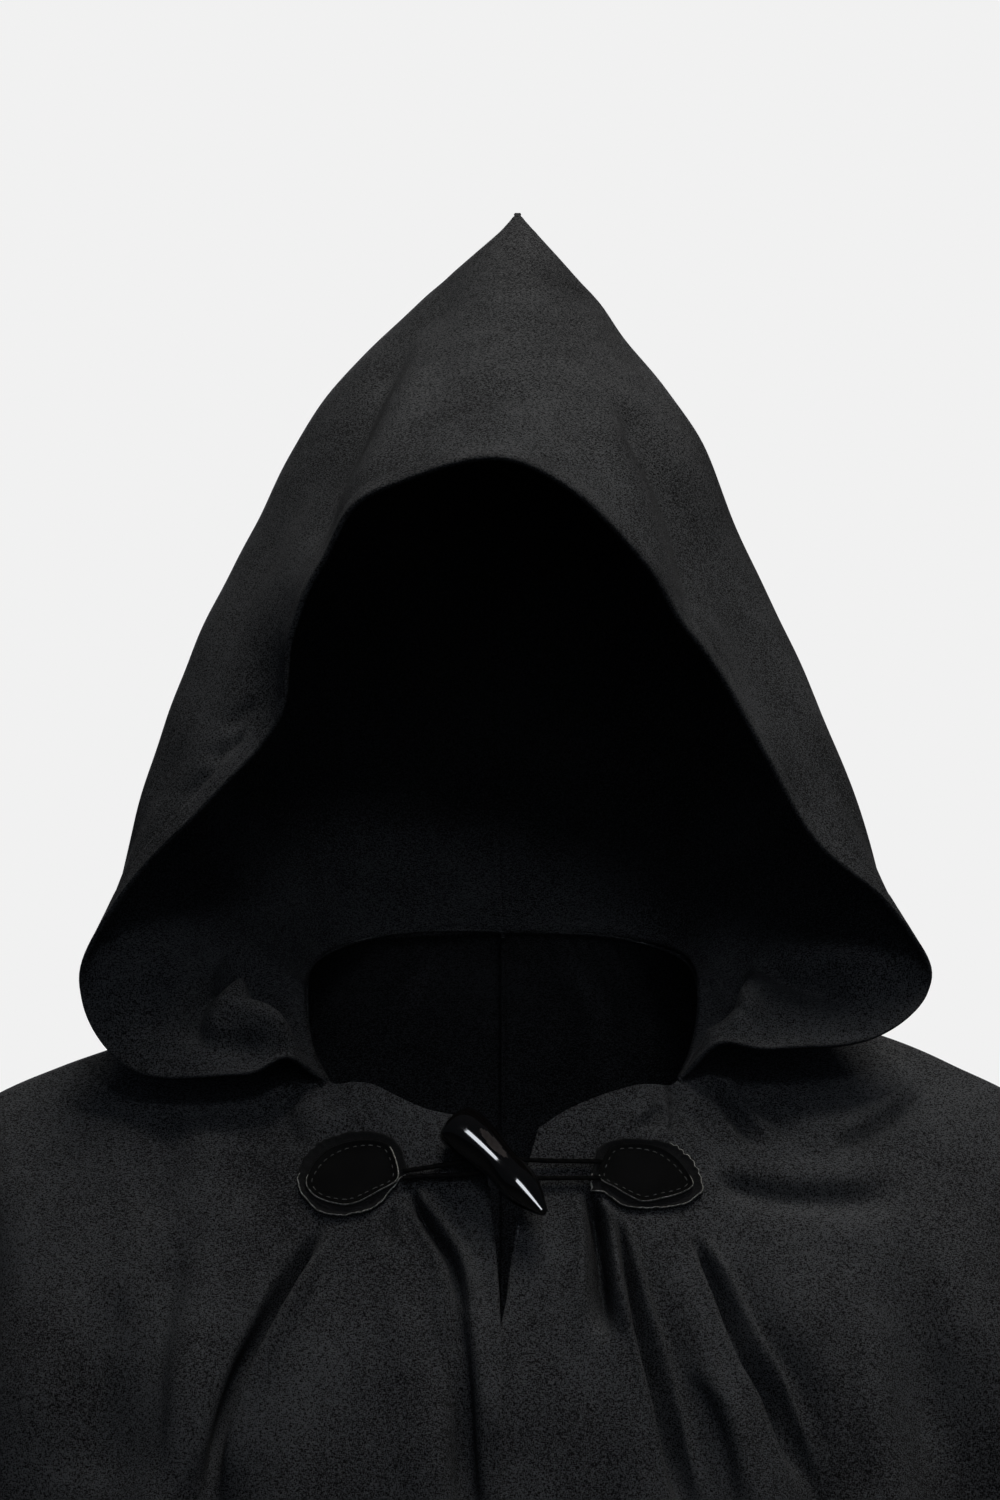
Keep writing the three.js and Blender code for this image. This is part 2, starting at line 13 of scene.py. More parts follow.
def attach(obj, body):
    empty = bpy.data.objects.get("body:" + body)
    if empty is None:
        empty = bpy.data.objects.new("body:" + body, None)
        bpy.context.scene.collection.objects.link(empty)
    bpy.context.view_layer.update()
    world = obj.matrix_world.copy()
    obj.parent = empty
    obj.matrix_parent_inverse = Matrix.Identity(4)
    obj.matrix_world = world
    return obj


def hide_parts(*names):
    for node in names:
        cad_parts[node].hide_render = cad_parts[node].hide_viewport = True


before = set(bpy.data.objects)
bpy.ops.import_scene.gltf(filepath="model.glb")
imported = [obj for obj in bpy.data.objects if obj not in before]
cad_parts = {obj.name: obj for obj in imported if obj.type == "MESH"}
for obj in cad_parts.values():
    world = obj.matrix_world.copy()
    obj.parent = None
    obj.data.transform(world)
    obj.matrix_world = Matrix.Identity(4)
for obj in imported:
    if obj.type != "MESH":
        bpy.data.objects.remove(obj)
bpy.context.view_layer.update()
mm = 0.001
print("frame loaded")

cameraSetup = {
    "distance": 3.0,  # metres in front of the neck
    "lookAtX": -0.0014,
    "lookAtZ": 0.154,
    "pictureHeight": 0.69,  # metres of cloak that fill the picture at the neck
}


def makeCamera():
    data = bpy.data.cameras.new("camera")
    data.sensor_width = 36
    data.lens = 36 * cameraSetup["distance"] / cameraSetup["pictureHeight"]
    data.clip_end = 50
    camera = bpy.data.objects.new("camera", data)
    camera.location = (cameraSetup["lookAtX"], -cameraSetup["distance"], cameraSetup["lookAtZ"])
    camera.rotation_euler = (math.radians(90), 0, 0)
    bpy.context.collection.objects.link(camera)
    bpy.context.scene.camera = camera


makeCamera()


# A smooth curve through the rows of a table, for a whole array of places at once.
def through(keys, values, at):
    keys = np.asarray(keys, float)
    values = np.asarray(values, float)
    at = np.asarray(at, float)
    i = np.searchsorted(keys[1:-1], at, side="left")
    before = np.maximum(i - 1, 0)
    after = np.minimum(i + 2, len(keys) - 1)
    extra = (1,) * (values.ndim - 1)
    span = (keys[i + 1] - keys[i]).reshape(at.shape + extra)
    gapIn = (keys[i + 1] - keys[before]).reshape(at.shape + extra)
    gapOut = (keys[after] - keys[i]).reshape(at.shape + extra)
    slopeIn = (values[i + 1] - values[before]) / gapIn * span
    slopeOut = (values[after] - values[i]) / gapOut * span
    t = (at - keys[i]).reshape(at.shape + extra) / span
    t2, t3 = t * t, t * t * t
    return (values[i] * (2 * t3 - 3 * t2 + 1) + slopeIn * (t3 - 2 * t2 + t)
            + values[i + 1] * (3 * t2 - 2 * t3) + slopeOut * (t3 - t2))


def ease(t):
    t = np.clip(t, 0, 1)
    return t * t * (3 - 2 * t)


def column(rows, name):
    return [row[name] for row in rows]


# Level sections of the draped body, as in the solids, from the neck seam to the hem.
bodySections = [
    dict(down=0.0, halfWidth=90, front=72, back=76, sideZ=48, frontZ=-20, backZ=70, square=3.0),
    dict(down=0.03, halfWidth=122, front=86, back=90, sideZ=38, frontZ=-45, backZ=50, square=2.6),
    dict(down=0.06, halfWidth=160, front=99, back=104, sideZ=25, frontZ=-72, backZ=24, square=2.4),
    dict(down=0.1, halfWidth=204, front=112, back=120, sideZ=9, frontZ=-108, backZ=-14, square=2.3),
    dict(down=0.14, halfWidth=240, front=122, back=132, sideZ=-9, frontZ=-146, backZ=-58, square=2.3),
    dict(down=0.18, halfWidth=264, front=130, back=141, sideZ=-42, frontZ=-190, backZ=-106, square=2.3),
    dict(down=0.23, halfWidth=280, front=137, back=149, sideZ=-98, frontZ=-245, backZ=-166, square=2.3),
    dict(down=0.3, halfWidth=291, front=146, back=158, sideZ=-180, frontZ=-318, backZ=-248, square=2.3),
    dict(down=0.42, halfWidth=306, front=160, back=174, sideZ=-330, frontZ=-460, backZ=-400, square=2.2),
    dict(down=0.6, halfWidth=336, front=188, back=204, sideZ=-590, frontZ=-700, backZ=-650, square=2.2),
    dict(down=0.8, halfWidth=380, front=226, back=246, sideZ=-930, frontZ=-1010, backZ=-980, square=2.2),
    dict(down=1.0, halfWidth=424, front=268, back=292, sideZ=-1290, frontZ=-1350, backZ=-1360, square=2.2),
]
shoulderRoll = 1.2
chestDown = 0.18
# The neckline is pulled straight between the hood's corner and the toggle.
neckPull = {"height": 9, "share": 0.68, "width": 0.22, "down": 0.045}

backFolds = [
    dict(neck=103, chest=102, hem=101, start=0.12, chestDepth=5, hemDepth=29, crease=1.8),
    dict(neck=118, chest=117, hem=118, start=0.17, chestDepth=3, hemDepth=33, crease=1.7),
    dict(neck=136, chest=136, hem=136, start=0.1, chestDepth=6, hemDepth=31, crease=1.7),
    dict(neck=153, chest=152, hem=153, start=0.2, chestDepth=3, hemDepth=35, crease=1.8),
    dict(neck=170, chest=169, hem=171, start=0.13, chestDepth=5, hemDepth=30, crease=1.7),
]
folds = {
    "right": [
        dict(neck=26, chest=6, hem=9, start=0.035, chestDepth=6, hemDepth=28, crease=1.4),
        dict(neck=36, chest=26, hem=27, start=0.3, chestDepth=0, hemDepth=30, crease=1.8),
        dict(neck=44, chest=47, hem=45, start=0.05, chestDepth=9, hemDepth=34, crease=1.3),
        dict(neck=62, chest=59, hem=61, start=0.11, chestDepth=5, hemDepth=27, crease=1.8),
        dict(neck=78, chest=77, hem=79, start=0.13, chestDepth=6, hemDepth=31, crease=1.8),
    ] + backFolds,
    "left": [
        dict(neck=20, chest=15, hem=12, start=0.3, chestDepth=0, hemDepth=26, crease=1.8),
        dict(neck=32, chest=34, hem=29, start=0.035, chestDepth=7, hemDepth=31, crease=1.4),
        dict(neck=44, chest=50, hem=46, start=0.05, chestDepth=9, hemDepth=33, crease=1.3),
        dict(neck=66, chest=64, hem=63, start=0.1, chestDepth=6, hemDepth=28, crease=1.8),
        dict(neck=79, chest=79, hem=80, start=0.14, chestDepth=5, hemDepth=30, crease=1.8),
    ] + backFolds,
}
foldCount = 10
frontEdge = [
    dict(drop=0, right=22, left=16),
    dict(drop=9, right=15, left=13),
    dict(drop=20, right=7.6, left=9.6),
    dict(drop=42, right=4, left=5.4),
    dict(drop=58, right=2.6, left=3),
    dict(drop=76, right=1.4, left=1),
    dict(drop=92, right=0.7, left=0.7),
    dict(drop=400, right=0.7, left=0.7),
    dict(drop=1400, right=3, left=3),
]
# How far the neckline stands above the drape, at each distance from the middle.
neckline = [
    dict(out=0, right=0, left=-6),
    dict(out=16, right=0, left=-5),
    dict(out=26, right=0.6, left=0.8),
    dict(out=35, right=1.8, left=4.4),
    dict(out=46, right=4.4, left=6.6),
    dict(out=57, right=6, left=6.2),
    dict(out=67, right=3.8, left=3.4),
    dict(out=80, right=0, left=0),
    dict(out=900, right=0, left=0),
]


def sectionAt(name, down):
    return through(column(bodySections, "down"), column(bodySections, name), down)


# Points on the smooth drape. angle is seen from above, 0 at the middle of the front.
def drapePoints(side, angle, down):
    across = np.sin(np.radians(angle))
    ahead = np.cos(np.radians(angle))
    depth = np.where(ahead > 0, sectionAt("front", down), sectionAt("back", down))
    power = sectionAt("square", down)
    outline = np.abs(across / sectionAt("halfWidth", down)) ** power + np.abs(ahead / depth) ** power
    reach = outline ** (-1 / power)
    share = np.abs(reach * ahead) / depth
    sideZ = sectionAt("sideZ", down)
    endZ = np.where(ahead > 0, sectionAt("frontZ", down), sectionAt("backZ", down))
    z = sideZ + (endZ - sideZ) * share ** shoulderRoll
    pull = ease((share - neckPull["share"]) / neckPull["width"]) * (1 - ease(down / neckPull["down"]))
    z = z + neckPull["height"] * np.where(ahead > 0, pull, 0)
    return np.stack([side * reach * across, -reach * ahead, z], -1)


def foldAngle(fold, down):
    upper = fold["neck"] + (fold["chest"] - fold["neck"]) * ease(down / chestDown)
    lower = fold["chest"] + (fold["hem"] - fold["chest"]) * ease((down - chestDown) / (1 - chestDown))
    return np.where(down < chestDown, upper, lower)


def foldDepth(fold, down):
    chest = 0
    if fold["start"] < chestDown:
        chest = fold["chestDepth"] * ease((down - fold["start"]) / (chestDown - fold["start"]))
    begin = max(fold["start"], chestDown)
    growth = np.clip((down - begin) / (1 - begin), 0, 1)
    return chest + (fold["hemDepth"] - fold["chestDepth"]) * ease(growth ** 0.8)


def frontEdgeAngle(name, down):
    front = sectionAt("front", down)
    drop = -20 - sectionAt("frontZ", down)
    away = through(column(frontEdge, "drop"), column(frontEdge, name), drop)
    return np.degrees(np.arctan2(away, front))


# Outward normals of a grid of points: rows run down the cloth, columns across it.
def gridNormals(points, flip):
    down = np.gradient(points, axis=0)
    across = np.gradient(points, axis=1)
    normal = np.cross(across, -down) * flip
    return normal / np.maximum(np.linalg.norm(normal, axis=-1, keepdims=True), 1e-9)


# The folded body on a grid. Places are counted in folds, from the front edge at a half.
def bodyGrid(side, places, downs):
    name = "left" if side > 0 else "right"
    marks = [frontEdgeAngle(name, downs)]
    marks += [foldAngle(fold, downs) for fold in folds[name]]
    marks.append(np.full_like(downs, 180))
    keys = [0.5, *range(1, foldCount + 1), foldCount + 0.5]
    angle = through(keys, np.array(marks), places).T
    base = drapePoints(side, angle, downs[:, None])
    normal = gridNormals(base, side)
    first = np.clip(np.floor(places), 1, foldCount).astype(int)
    second = np.minimum(first + 1, foldCount)
    mix = np.clip(places - first, 0, 1)
    depths = np.array([foldDepth(fold, downs) for fold in folds[name]])
    creases = np.array(column(folds[name], "crease"))
    depth = (depths[first - 1].T * (1 - mix) + depths[second - 1].T * mix)
    crease = creases[first - 1] * (1 - mix) + creases[second - 1] * mix
    wave = 2 * np.abs(np.sin(np.pi * places)) ** crease - 1
    return base + normal * (depth * wave)[..., None]


# Where points show in the picture, in millimetres across and up at the neck's distance.
def seenAt(points):
    away = cameraSetup["distance"] / mm
    middleX, middleZ = cameraSetup["lookAtX"] / mm, cameraSetup["lookAtZ"] / mm
    scale = away / (away + points[..., 1])
    return middleX + (points[..., 0] - middleX) * scale, middleZ + (points[..., 2] - middleZ) * scale


# Creases as they show from the front, in millimetres across and up, each with the depth and half width
# of its trough. A ridge is a crease with a negative depth. lean raises the cloth on one side of it
# and makes that side the steep one: for a crease that runs down, a positive lean is on the wearer's left.
frontCreases = [
    dict(line=[(-82, -62), (-94, -84), (-110, -114), (-124, -146), (-138, -200)],
         depth=15, width=3.6, lean=0.3),
    dict(line=[(-49, -50), (-51, -60), (-54, -76)], depth=3.4, width=2.6, lean=0.2),
    dict(line=[(-42, -46), (-39, -56), (-31, -68), (-22, -84), (-18, -108)],
         depth=12, width=2.4, lean=0.2),
    dict(line=[(-23, -84), (-19, -118), (-17, -150), (-17, -210)], depth=6, width=4.6, lean=0.3),
    dict(line=[(-93, 1), (-100, -14), (-92, -34)], depth=4.4, width=8, lean=0.2),
    dict(line=[(-149, -10), (-158, -37), (-166, -66)], depth=4, width=12, lean=0.2),
    dict(line=[(-176, -86), (-184, -136), (-186, -200)], depth=5, width=13, lean=0),
    dict(line=[(-111, -2), (-112, -25), (-123, -60)], depth=3.4, width=9, lean=0),
    dict(line=[(-146, -60), (-155, -105), (-159, -154), (-160, -210)], depth=4.4, width=9, lean=0.2),
    dict(line=[(38, -46), (42, -56), (44, -70), (46, -96), (48, -118)], depth=16, width=3.6, lean=0.15),
    dict(line=[(50, -54), (55, -72), (60, -96), (71, -134), (80, -170), (88, -210)],
         depth=11, width=2.5, lean=0.25),
    dict(line=[(86, -66), (98, -90), (112, -122), (126, -146), (142, -190)],
         depth=14, width=2.6, lean=0.25),
    dict(line=[(84, -130), (98, -160), (108, -210)], depth=3.4, width=6, lean=0.3),
    dict(line=[(90, -38), (104, -45), (124, -51), (148, -53), (172, -52), (192, -44)],
         depth=5, width=6, lean=0.4),
    dict(line=[(150, -30), (164, -24), (180, -15), (198, -5)], depth=6, width=3.4, lean=0.3),
    dict(line=[(78, -5), (80, -16), (77, -24)], depth=5.5, width=2.4, lean=0),
    dict(line=[(93, 3), (103, -8), (112, -19), (122, -30)], depth=8, width=2.8, lean=0.3),
    dict(line=[(76, 1), (84, -10), (92, -22)], depth=3.6, width=3.2, lean=0.3),
    dict(line=[(104, 2), (120, -14), (140, -26)], depth=3, width=4.5, lean=0),
    dict(line=[(60, -25), (68, -19), (76, -10)], depth=2.8, width=2.8, lean=0.3),
    dict(line=[(155, -92), (160, -145), (166, -210)], depth=4, width=10, lean=0),
    dict(line=[(190, -52), (194, -117), (199, -200)], depth=4.6, width=11, lean=0.2),
    dict(line=[(-26, -62), (-12, -80), (-6, -110)], depth=1.4, width=4, lean=0),
    dict(line=[(22, -66), (14, -92), (10, -140)], depth=1.8, width=5, lean=0),
]
backCreases = [
    dict(line=[(30, 60), (44, 20), (50, -60)], depth=2.4, width=6, lean=0.3),
    dict(line=[(-22, 62), (-30, 10), (-26, -90)], depth=2.6, width=7, lean=-0.2),
    dict(line=[(74, 52), (98, 8), (118, -70)], depth=3, width=8, lean=0.3),
    dict(line=[(-70, 50), (-104, 0), (-132, -90)], depth=3.4, width=8, lean=0.3),
    dict(line=[(140, 18), (168, -30), (176, -120)], depth=3, width=11, lean=0),
    dict(line=[(-150, 14), (-180, -40), (-190, -140)], depth=3.2, width=10, lean=0.2),
    dict(line=[(8, -40), (2, -140), (6, -260)], depth=2.6, width=9, lean=0),
    dict(line=[(-60, -120), (-66, -240), (-62, -380)], depth=3.4, width=9, lean=0.3),
    dict(line=[(88, -150), (96, -280), (92, -420)], depth=3.2, width=9, lean=-0.3),
]
sideCreases = [
    dict(line=[(-40, -20), (-52, -80), (-60, -180)], depth=3.2, width=9, lean=0.3),
    dict(line=[(24, -10), (30, -90), (36, -210)], depth=3, width=8, lean=-0.3),
    dict(line=[(70, -60), (84, -160), (88, -300)], depth=3.4, width=10, lean=0.3),
    dict(line=[(-8, -140), (-4, -260), (-10, -420)], depth=3, width=9, lean=0),
]
# Small folds that run down between the large ones, each at its own place, from its start to its end.
smallFolds = [
    dict(place=1.42, begin=0.24, end=0.62, depth=4, width=0.1),
    dict(place=1.7, begin=0.5, end=1.02, depth=5, width=0.09),
    dict(place=2.55, begin=0.3, end=0.74, depth=4.5, width=0.11),
    dict(place=3.38, begin=0.2, end=0.5, depth=3.5, width=0.1),
    dict(place=3.6, begin=0.58, end=1.02, depth=5.5, width=0.1),
    dict(place=4.5, begin=0.26, end=0.8, depth=4, width=0.12),
    dict(place=5.36, begin=0.35, end=0.66, depth=3.8, width=0.1),
    dict(place=5.62, begin=0.6, end=1.02, depth=5, width=0.1),
    dict(place=6.45, begin=0.22, end=0.58, depth=4.4, width=0.1),
    dict(place=7.5, begin=0.42, end=0.95, depth=4.6, width=0.12),
    dict(place=8.4, begin=0.25, end=0.55, depth=4, width=0.09),
    dict(place=8.62, begin=0.62, end=1.02, depth=5, width=0.1),
    dict(place=9.5, begin=0.3, end=0.86, depth=4.4, width=0.11),
]


# How far cloth is pushed by a list of creases, at points seen square on.
def creasePush(across, up, creases):
    push = np.zeros_like(across)
    for crease in creases:
        line = np.array(crease["line"], float)
        keys = np.arange(len(line))
        fine = line
        if len(line) > 2:
            fine = through(keys, line, np.linspace(0, len(line) - 1, 6 * len(line)))
        reach = 4 * crease["width"]
        near = ((across > fine[:, 0].min() - reach) & (across < fine[:, 0].max() + reach)
                & (up > fine[:, 1].min() - reach) & (up < fine[:, 1].max() + reach))
        if not near.any():
            continue
        x, z = across[near], up[near]
        best = np.full(x.shape, 1e9)
        offset = np.zeros_like(x)
        along = np.zeros_like(x)
        steps = np.linalg.norm(np.diff(fine, axis=0), axis=1)
        total = steps.sum()
        gone = 0
        for a, b, step in zip(fine[:-1], fine[1:], steps):
            way = (b - a) / step
            run = np.clip((x - a[0]) * way[0] + (z - a[1]) * way[1], 0, step)
            gapX, gapZ = x - a[0] - way[0] * run, z - a[1] - way[1] * run
            distance = np.hypot(gapX, gapZ)
            closer = distance < best
            best = np.where(closer, distance, best)
            offset = np.where(closer, np.sign(way[0] * gapZ - way[1] * gapX) * distance, offset)
            along = np.where(closer, (gone + run) / total, along)
            gone += step
        fade = ease(along / 0.22) * ease((1 - along) / 0.3)
        width = crease["width"] * (0.75 + 0.6 * along)
        lean = crease["lean"]
        steep = offset * np.sign(lean) > 0
        trough = np.exp(-(np.abs(offset / (width * np.where(steep, 0.7, 1.25 if lean else 1))) ** 1.5))
        banks = 0.22 * np.exp(-(((np.abs(offset) - 2 * width) / (1.2 * width)) ** 2))
        oneSide = abs(lean) * np.exp(-(((offset * np.sign(lean) - 1.6 * width) / width) ** 2))
        push[near] += crease["depth"] * fade * (banks + oneSide - trough)
    return push


# Gentle unevenness of hanging cloth, from a few long waves that cross each other.
def unevenness(points, seed, size, height):
    rng = np.random.default_rng(seed)
    total = np.zeros(points.shape[:-1])
    for _ in range(9):
        direction = rng.normal(size=3)
        direction /= np.linalg.norm(direction)
        length = size * rng.uniform(0.7, 1.6)
        total += np.sin(points @ direction * (2 * np.pi / length) + rng.uniform(0, 6.28))
    return total * height / 3


def arcLength(points, axis):
    steps = np.linalg.norm(np.diff(points, axis=axis), axis=-1)
    zero = np.zeros_like(np.take(steps, [0], axis=axis))
    return np.concatenate([zero, np.cumsum(steps, axis=axis)], axis=axis)


clothLook = {
    "thickness": 1.2,      # the woven cloth itself
    "frontHem": 24,        # width of the turned edge down each front
    "bottomHem": 28,
    "hoodHem": 10,
    "hemThickness": 2.3,   # the edge is turned in, so it is double
}


# The row of stitches that holds a turned edge pulls the cloth in a little.
def hemLine(distance, width):
    return -0.3 * np.exp(-(((distance - width + 2) / 1.3) ** 2))


def hemShare(distance, width):
    return 1 - ease((distance - width + 0.6) / 1.2)


def dressedBody(side, columns, rows):
    downs = np.linspace(0, 1, rows) ** 1.7
    spread = np.linspace(0, 1, columns)
    spread = 0.6 * spread + 0.4 * spread ** 2  # finer in front
    places = 0.5 + foldCount * spread
    points = bodyGrid(side, places, downs)
    normals = gridNormals(points, side)
    x, y, z = points[..., 0], points[..., 1], points[..., 2]
    push = np.zeros(x.shape)
    facing = ease((0.25 - normals[..., 1]) / 0.5) * ease((20 - y) / 30)
    push += creasePush(*seenAt(points), frontCreases) * facing
    behind = ease((normals[..., 1] + 0.1) / 0.5) * ease((y - 10) / 40)
    push += creasePush(x * side, z, backCreases) * behind
    outer = ease((np.abs(normals[..., 0]) - 0.3) / 0.4) * ease((np.abs(x) - 120) / 60)
    push += creasePush(y, z, sideCreases) * outer
    for fold in smallFolds:
        place = fold["place"] + 0.03 * side
        sway = 0.04 * np.sin(7 * downs[:, None] + fold["place"])
        across = (places[None, :] - place - sway) / fold["width"]
        length = (downs[:, None] - fold["begin"]) / (fold["end"] - fold["begin"])
        fade = ease(length / 0.3) * ease((1 - length) / 0.25)
        banks = 0.3 * np.exp(-((np.abs(across) - 1.8) ** 2))
        push -= fold["depth"] * fade * (np.exp(-across ** 2) - banks)
    smooth = 1 - patchMask(x, z) * (y < 0)
    push += unevenness(points, 5, 150, 1.1) + unevenness(points, 8, 60, 0.4)
    push *= smooth
    fromFront = arcLength(points, 1)
    fromHem = arcLength(points[::-1], 0)[::-1]
    fromNeck = arcLength(points, 0)
    push += hemLine(fromFront, clothLook["frontHem"])
    push += hemLine(fromHem, clothLook["bottomHem"])
    push -= 0.9 * np.exp(-((fromFront[:, -1:] - fromFront) / 1.6) ** 2)  # the middle back seam
    # Puckers run down from the neck seam where the cloth is eased into it.
    sewn = ease((places - 3.6) / 0.6)[None, :]
    pucker = np.sin(places * 21 + 2 * np.sin(places * 5)) * np.exp(-fromNeck / 14) * ease(fromNeck / 4)
    push += 0.8 * pucker * sewn
    push -= 1.1 * np.exp(-((fromNeck / 2.2) ** 2)) * sewn
    points = points + normals * push[..., None]
    name = "left" if side > 0 else "right"
    lift = through(column(neckline, "out"), column(neckline, name), np.abs(points[..., 0]))
    points[..., 2] += lift * np.exp(-((fromNeck / 26) ** 2)) * (y < 0)
    if side < 0:
        turnedBack = np.exp(-((fromFront / 7) ** 2)) * ease((-135 - points[..., 2]) / 30)
        points[..., 1] += 5 * turnedBack
    else:
        # The wearer's left front laps a little over the right one below the toggle.
        over = np.exp(-fromFront / 9) * ease((-88 - points[..., 2]) / 25)
        points[..., 0] -= 3.2 * over
        points[..., 1] -= 1.8 * over
    # The seam allowance at the middle of the back is turned in.
    turned = points[:, -1] - normals[:, -1] * 5
    turned[:, 0] -= side * 0.3
    points = np.concatenate([points, turned[:, None]], axis=1)
    fromFront = np.concatenate([fromFront, fromFront[:, -1:] + 5], axis=1)
    fromNeck = np.concatenate([fromNeck, fromNeck[:, -1:]], axis=1)
    return points, fromFront, fromNeck, fromHem


# The hood's ribs, near those of the solids: the face edge at the right and left, then the temple,
# the widest side, the rear and the back seam.
hoodRibs = [
    dict(along=0.0, right=(0, 281.4), left=(0, 281.4), edgeY=-118, temple=(0, -50, 323),
         side=(0, 20, 359), rear=(0, 90, 396), seam=(117, 410)),
    dict(along=0.07, right=(31, 276.5), left=(27.4, 269.2), edgeY=-116, temple=(33, -48, 313),
         side=(36, 15, 344), rear=(36, 94, 373), seam=(121, 373)),
    dict(along=0.145, right=(61.7, 260.4), left=(49.3, 249.5), edgeY=-111, temple=(61, -48, 295),
         side=(67, 24, 329), rear=(57, 92, 347), seam=(123, 338)),
    dict(along=0.22, right=(79.3, 238.3), left=(70.5, 220.1), edgeY=-104, temple=(83, -42, 270),
         side=(88, 30, 303), rear=(70, 94, 313), seam=(124, 305)),
    dict(along=0.31, right=(93.1, 204), left=(94.7, 188.8), edgeY=-94, temple=(101, -45, 229),
         side=(107, 22, 263), rear=(79, 95, 278), seam=(123, 270)),
    dict(along=0.4, right=(99.8, 167), left=(115.9, 152.2), edgeY=-85, temple=(118, -52, 190),
         side=(128, 8, 218), rear=(86, 95, 240), seam=(121, 235)),
    dict(along=0.5, right=(131, 130.5), left=(139.7, 111.5), edgeY=-77, temple=(140, -54, 152),
         side=(146, -6, 174), rear=(91, 92, 203), seam=(118, 200)),
    dict(along=0.6, right=(168, 92), left=(173, 83), edgeY=-60, temple=(166, -44, 108),
         side=(157, -12, 132), rear=(93, 88, 167), seam=(112, 166)),
    dict(along=0.69, right=(192, 46), left=(194, 48), edgeY=-38, temple=(178, -36, 66),
         side=(158, -10, 96), rear=(90, 82, 136), seam=(106, 139)),
    dict(along=0.79, right=(168, 9), left=(168, 24), edgeY=-48, temple=(156, -40, 46),
         side=(140, -8, 74), rear=(84, 76, 111), seam=(99, 115)),
    dict(along=0.9, right=(117, 8.5), left=(116, 20), edgeY=-66, temple=(118, -46, 36),
         side=(116, -6, 56), rear=(74, 68, 88), seam=(90, 93)),
    dict(along=0.95, right=(98, 13), left=(97, 18.5), edgeY=-63, temple=(103, -38, 33),
         side=(103, -2, 51), rear=(69, 63, 76), seam=(84, 82)),
    dict(along=1.0, right=(79, 2), left=(79, 2), edgeY=-50, temple=(88, -28, 24),
         side=(90, 2, 46), rear=(64, 58, 64), seam=(77, 71)),
]
hoodSway = [(60, 0), (150, -3), (230, -5), (300, -3), (345, 1), (400, 7)]
hoodNeckAngles = [58, 73, 91, 132, 180]
neckBlend = 0.9

# Creases on the outside of the hood, seen from the front, then on its sides, seen square on, and then
# the folds of the lapels, seen from the front. A lapel shows its inside, so its depths push inwards.
hoodFrontCreases = [
    dict(line=[(-40, 352), (-54, 326), (-70, 296), (-80, 272), (-93, 224)], depth=6.5, width=9, lean=0.3),
    dict(line=[(50, 322), (58, 304), (74, 274), (86, 236), (91, 205)], depth=6.5, width=8, lean=-0.3),
    dict(line=[(66, 344), (80, 318), (92, 280), (106, 236)], depth=-2, width=8, lean=0),
    dict(line=[(-22, 374), (-34, 347), (-40, 322)], depth=1.8, width=7, lean=0),
    dict(line=[(-14, 316), (6, 318), (30, 312)], depth=1.8, width=6, lean=0),
    dict(line=[(-112, 176), (-121, 168), (-128, 160)], depth=1.5, width=3.2, lean=0),
    dict(line=[(-118, 160), (-128, 153), (-136, 146)], depth=1.9, width=3.2, lean=0),
    dict(line=[(-130, 146), (-139, 138), (-146, 128)], depth=1.5, width=3.2, lean=0),
]
hoodSideCreases = [
    dict(line=[(-80, 235), (-30, 250), (30, 262)], depth=2.2, width=8, lean=0.2),
    dict(line=[(-60, 170), (-10, 190), (50, 196)], depth=2.6, width=9, lean=0.2),
    dict(line=[(-20, 110), (20, 128), (70, 130)], depth=3, width=8, lean=0.3),
    dict(line=[(-10, 60), (10, 84), (50, 96)], depth=2.6, width=6, lean=-0.3),
    dict(line=[(60, 300), (80, 240), (84, 180)], depth=2, width=8, lean=0),
]
lapelCreases = [
    dict(line=[(-87, 12), (-97, 26), (-107, 38), (-118, 47), (-134, 55)], depth=15, width=6.5, lean=0.35),
    dict(line=[(85, 18), (93, 29), (101, 36), (106, 46), (109, 59)], depth=14, width=6.5, lean=-0.35),
    dict(line=[(-72, -6), (-86, 4), (-98, 13), (-108, 22), (-118, 29), (-131, 34)],
         depth=-9, width=6, lean=-0.4),
    dict(line=[(-127, 36), (-116, 41), (-104, 41)], depth=-5, width=3.4, lean=0),
    dict(line=[(-121, 51), (-132, 43), (-141, 31), (-142, 14)], depth=8, width=5, lean=0.3),
    dict(line=[(-158, 56), (-161, 38), (-160, 18)], depth=4, width=8, lean=0),
    dict(line=[(76, -5), (88, 9), (97, 16), (106, 20), (113, 26), (116, 36), (120, 48)],
         depth=-9, width=5.5, lean=0.4),
    dict(line=[(116, 52), (136, 49), (151, 44), (164, 32)], depth=8, width=6.5, lean=0.3),
    dict(line=[(107, 27), (114, 25), (120, 21), (128, 17)], depth=3, width=2.6, lean=0),
]


def hoodTable(across):
    alongKeys = np.array(column(hoodRibs, "along"))
    keys = np.concatenate([-alongKeys[:0:-1], alongKeys])

    def read(pick):
        values = [pick(rib, -1) for rib in hoodRibs[:0:-1]] + [pick(rib, 1) for rib in hoodRibs]
        return keys, np.array(values, float)

    def edge(rib, side):
        x, z = rib["left"] if side > 0 else rib["right"]
        return side * x, rib["edgeY"], z

    def station(name):
        return lambda rib, side: (side * rib[name][0], rib[name][1], rib[name][2])

    stations = [through(*read(edge), across)]
    stations += [through(*read(station(name)), across) for name in ("temple", "side", "rear")]
    stations.append(through(*read(lambda rib, side: (0, *rib["seam"])), across))
    stations.append(through(*read(station("rear")), -across))
    return np.array(stations)


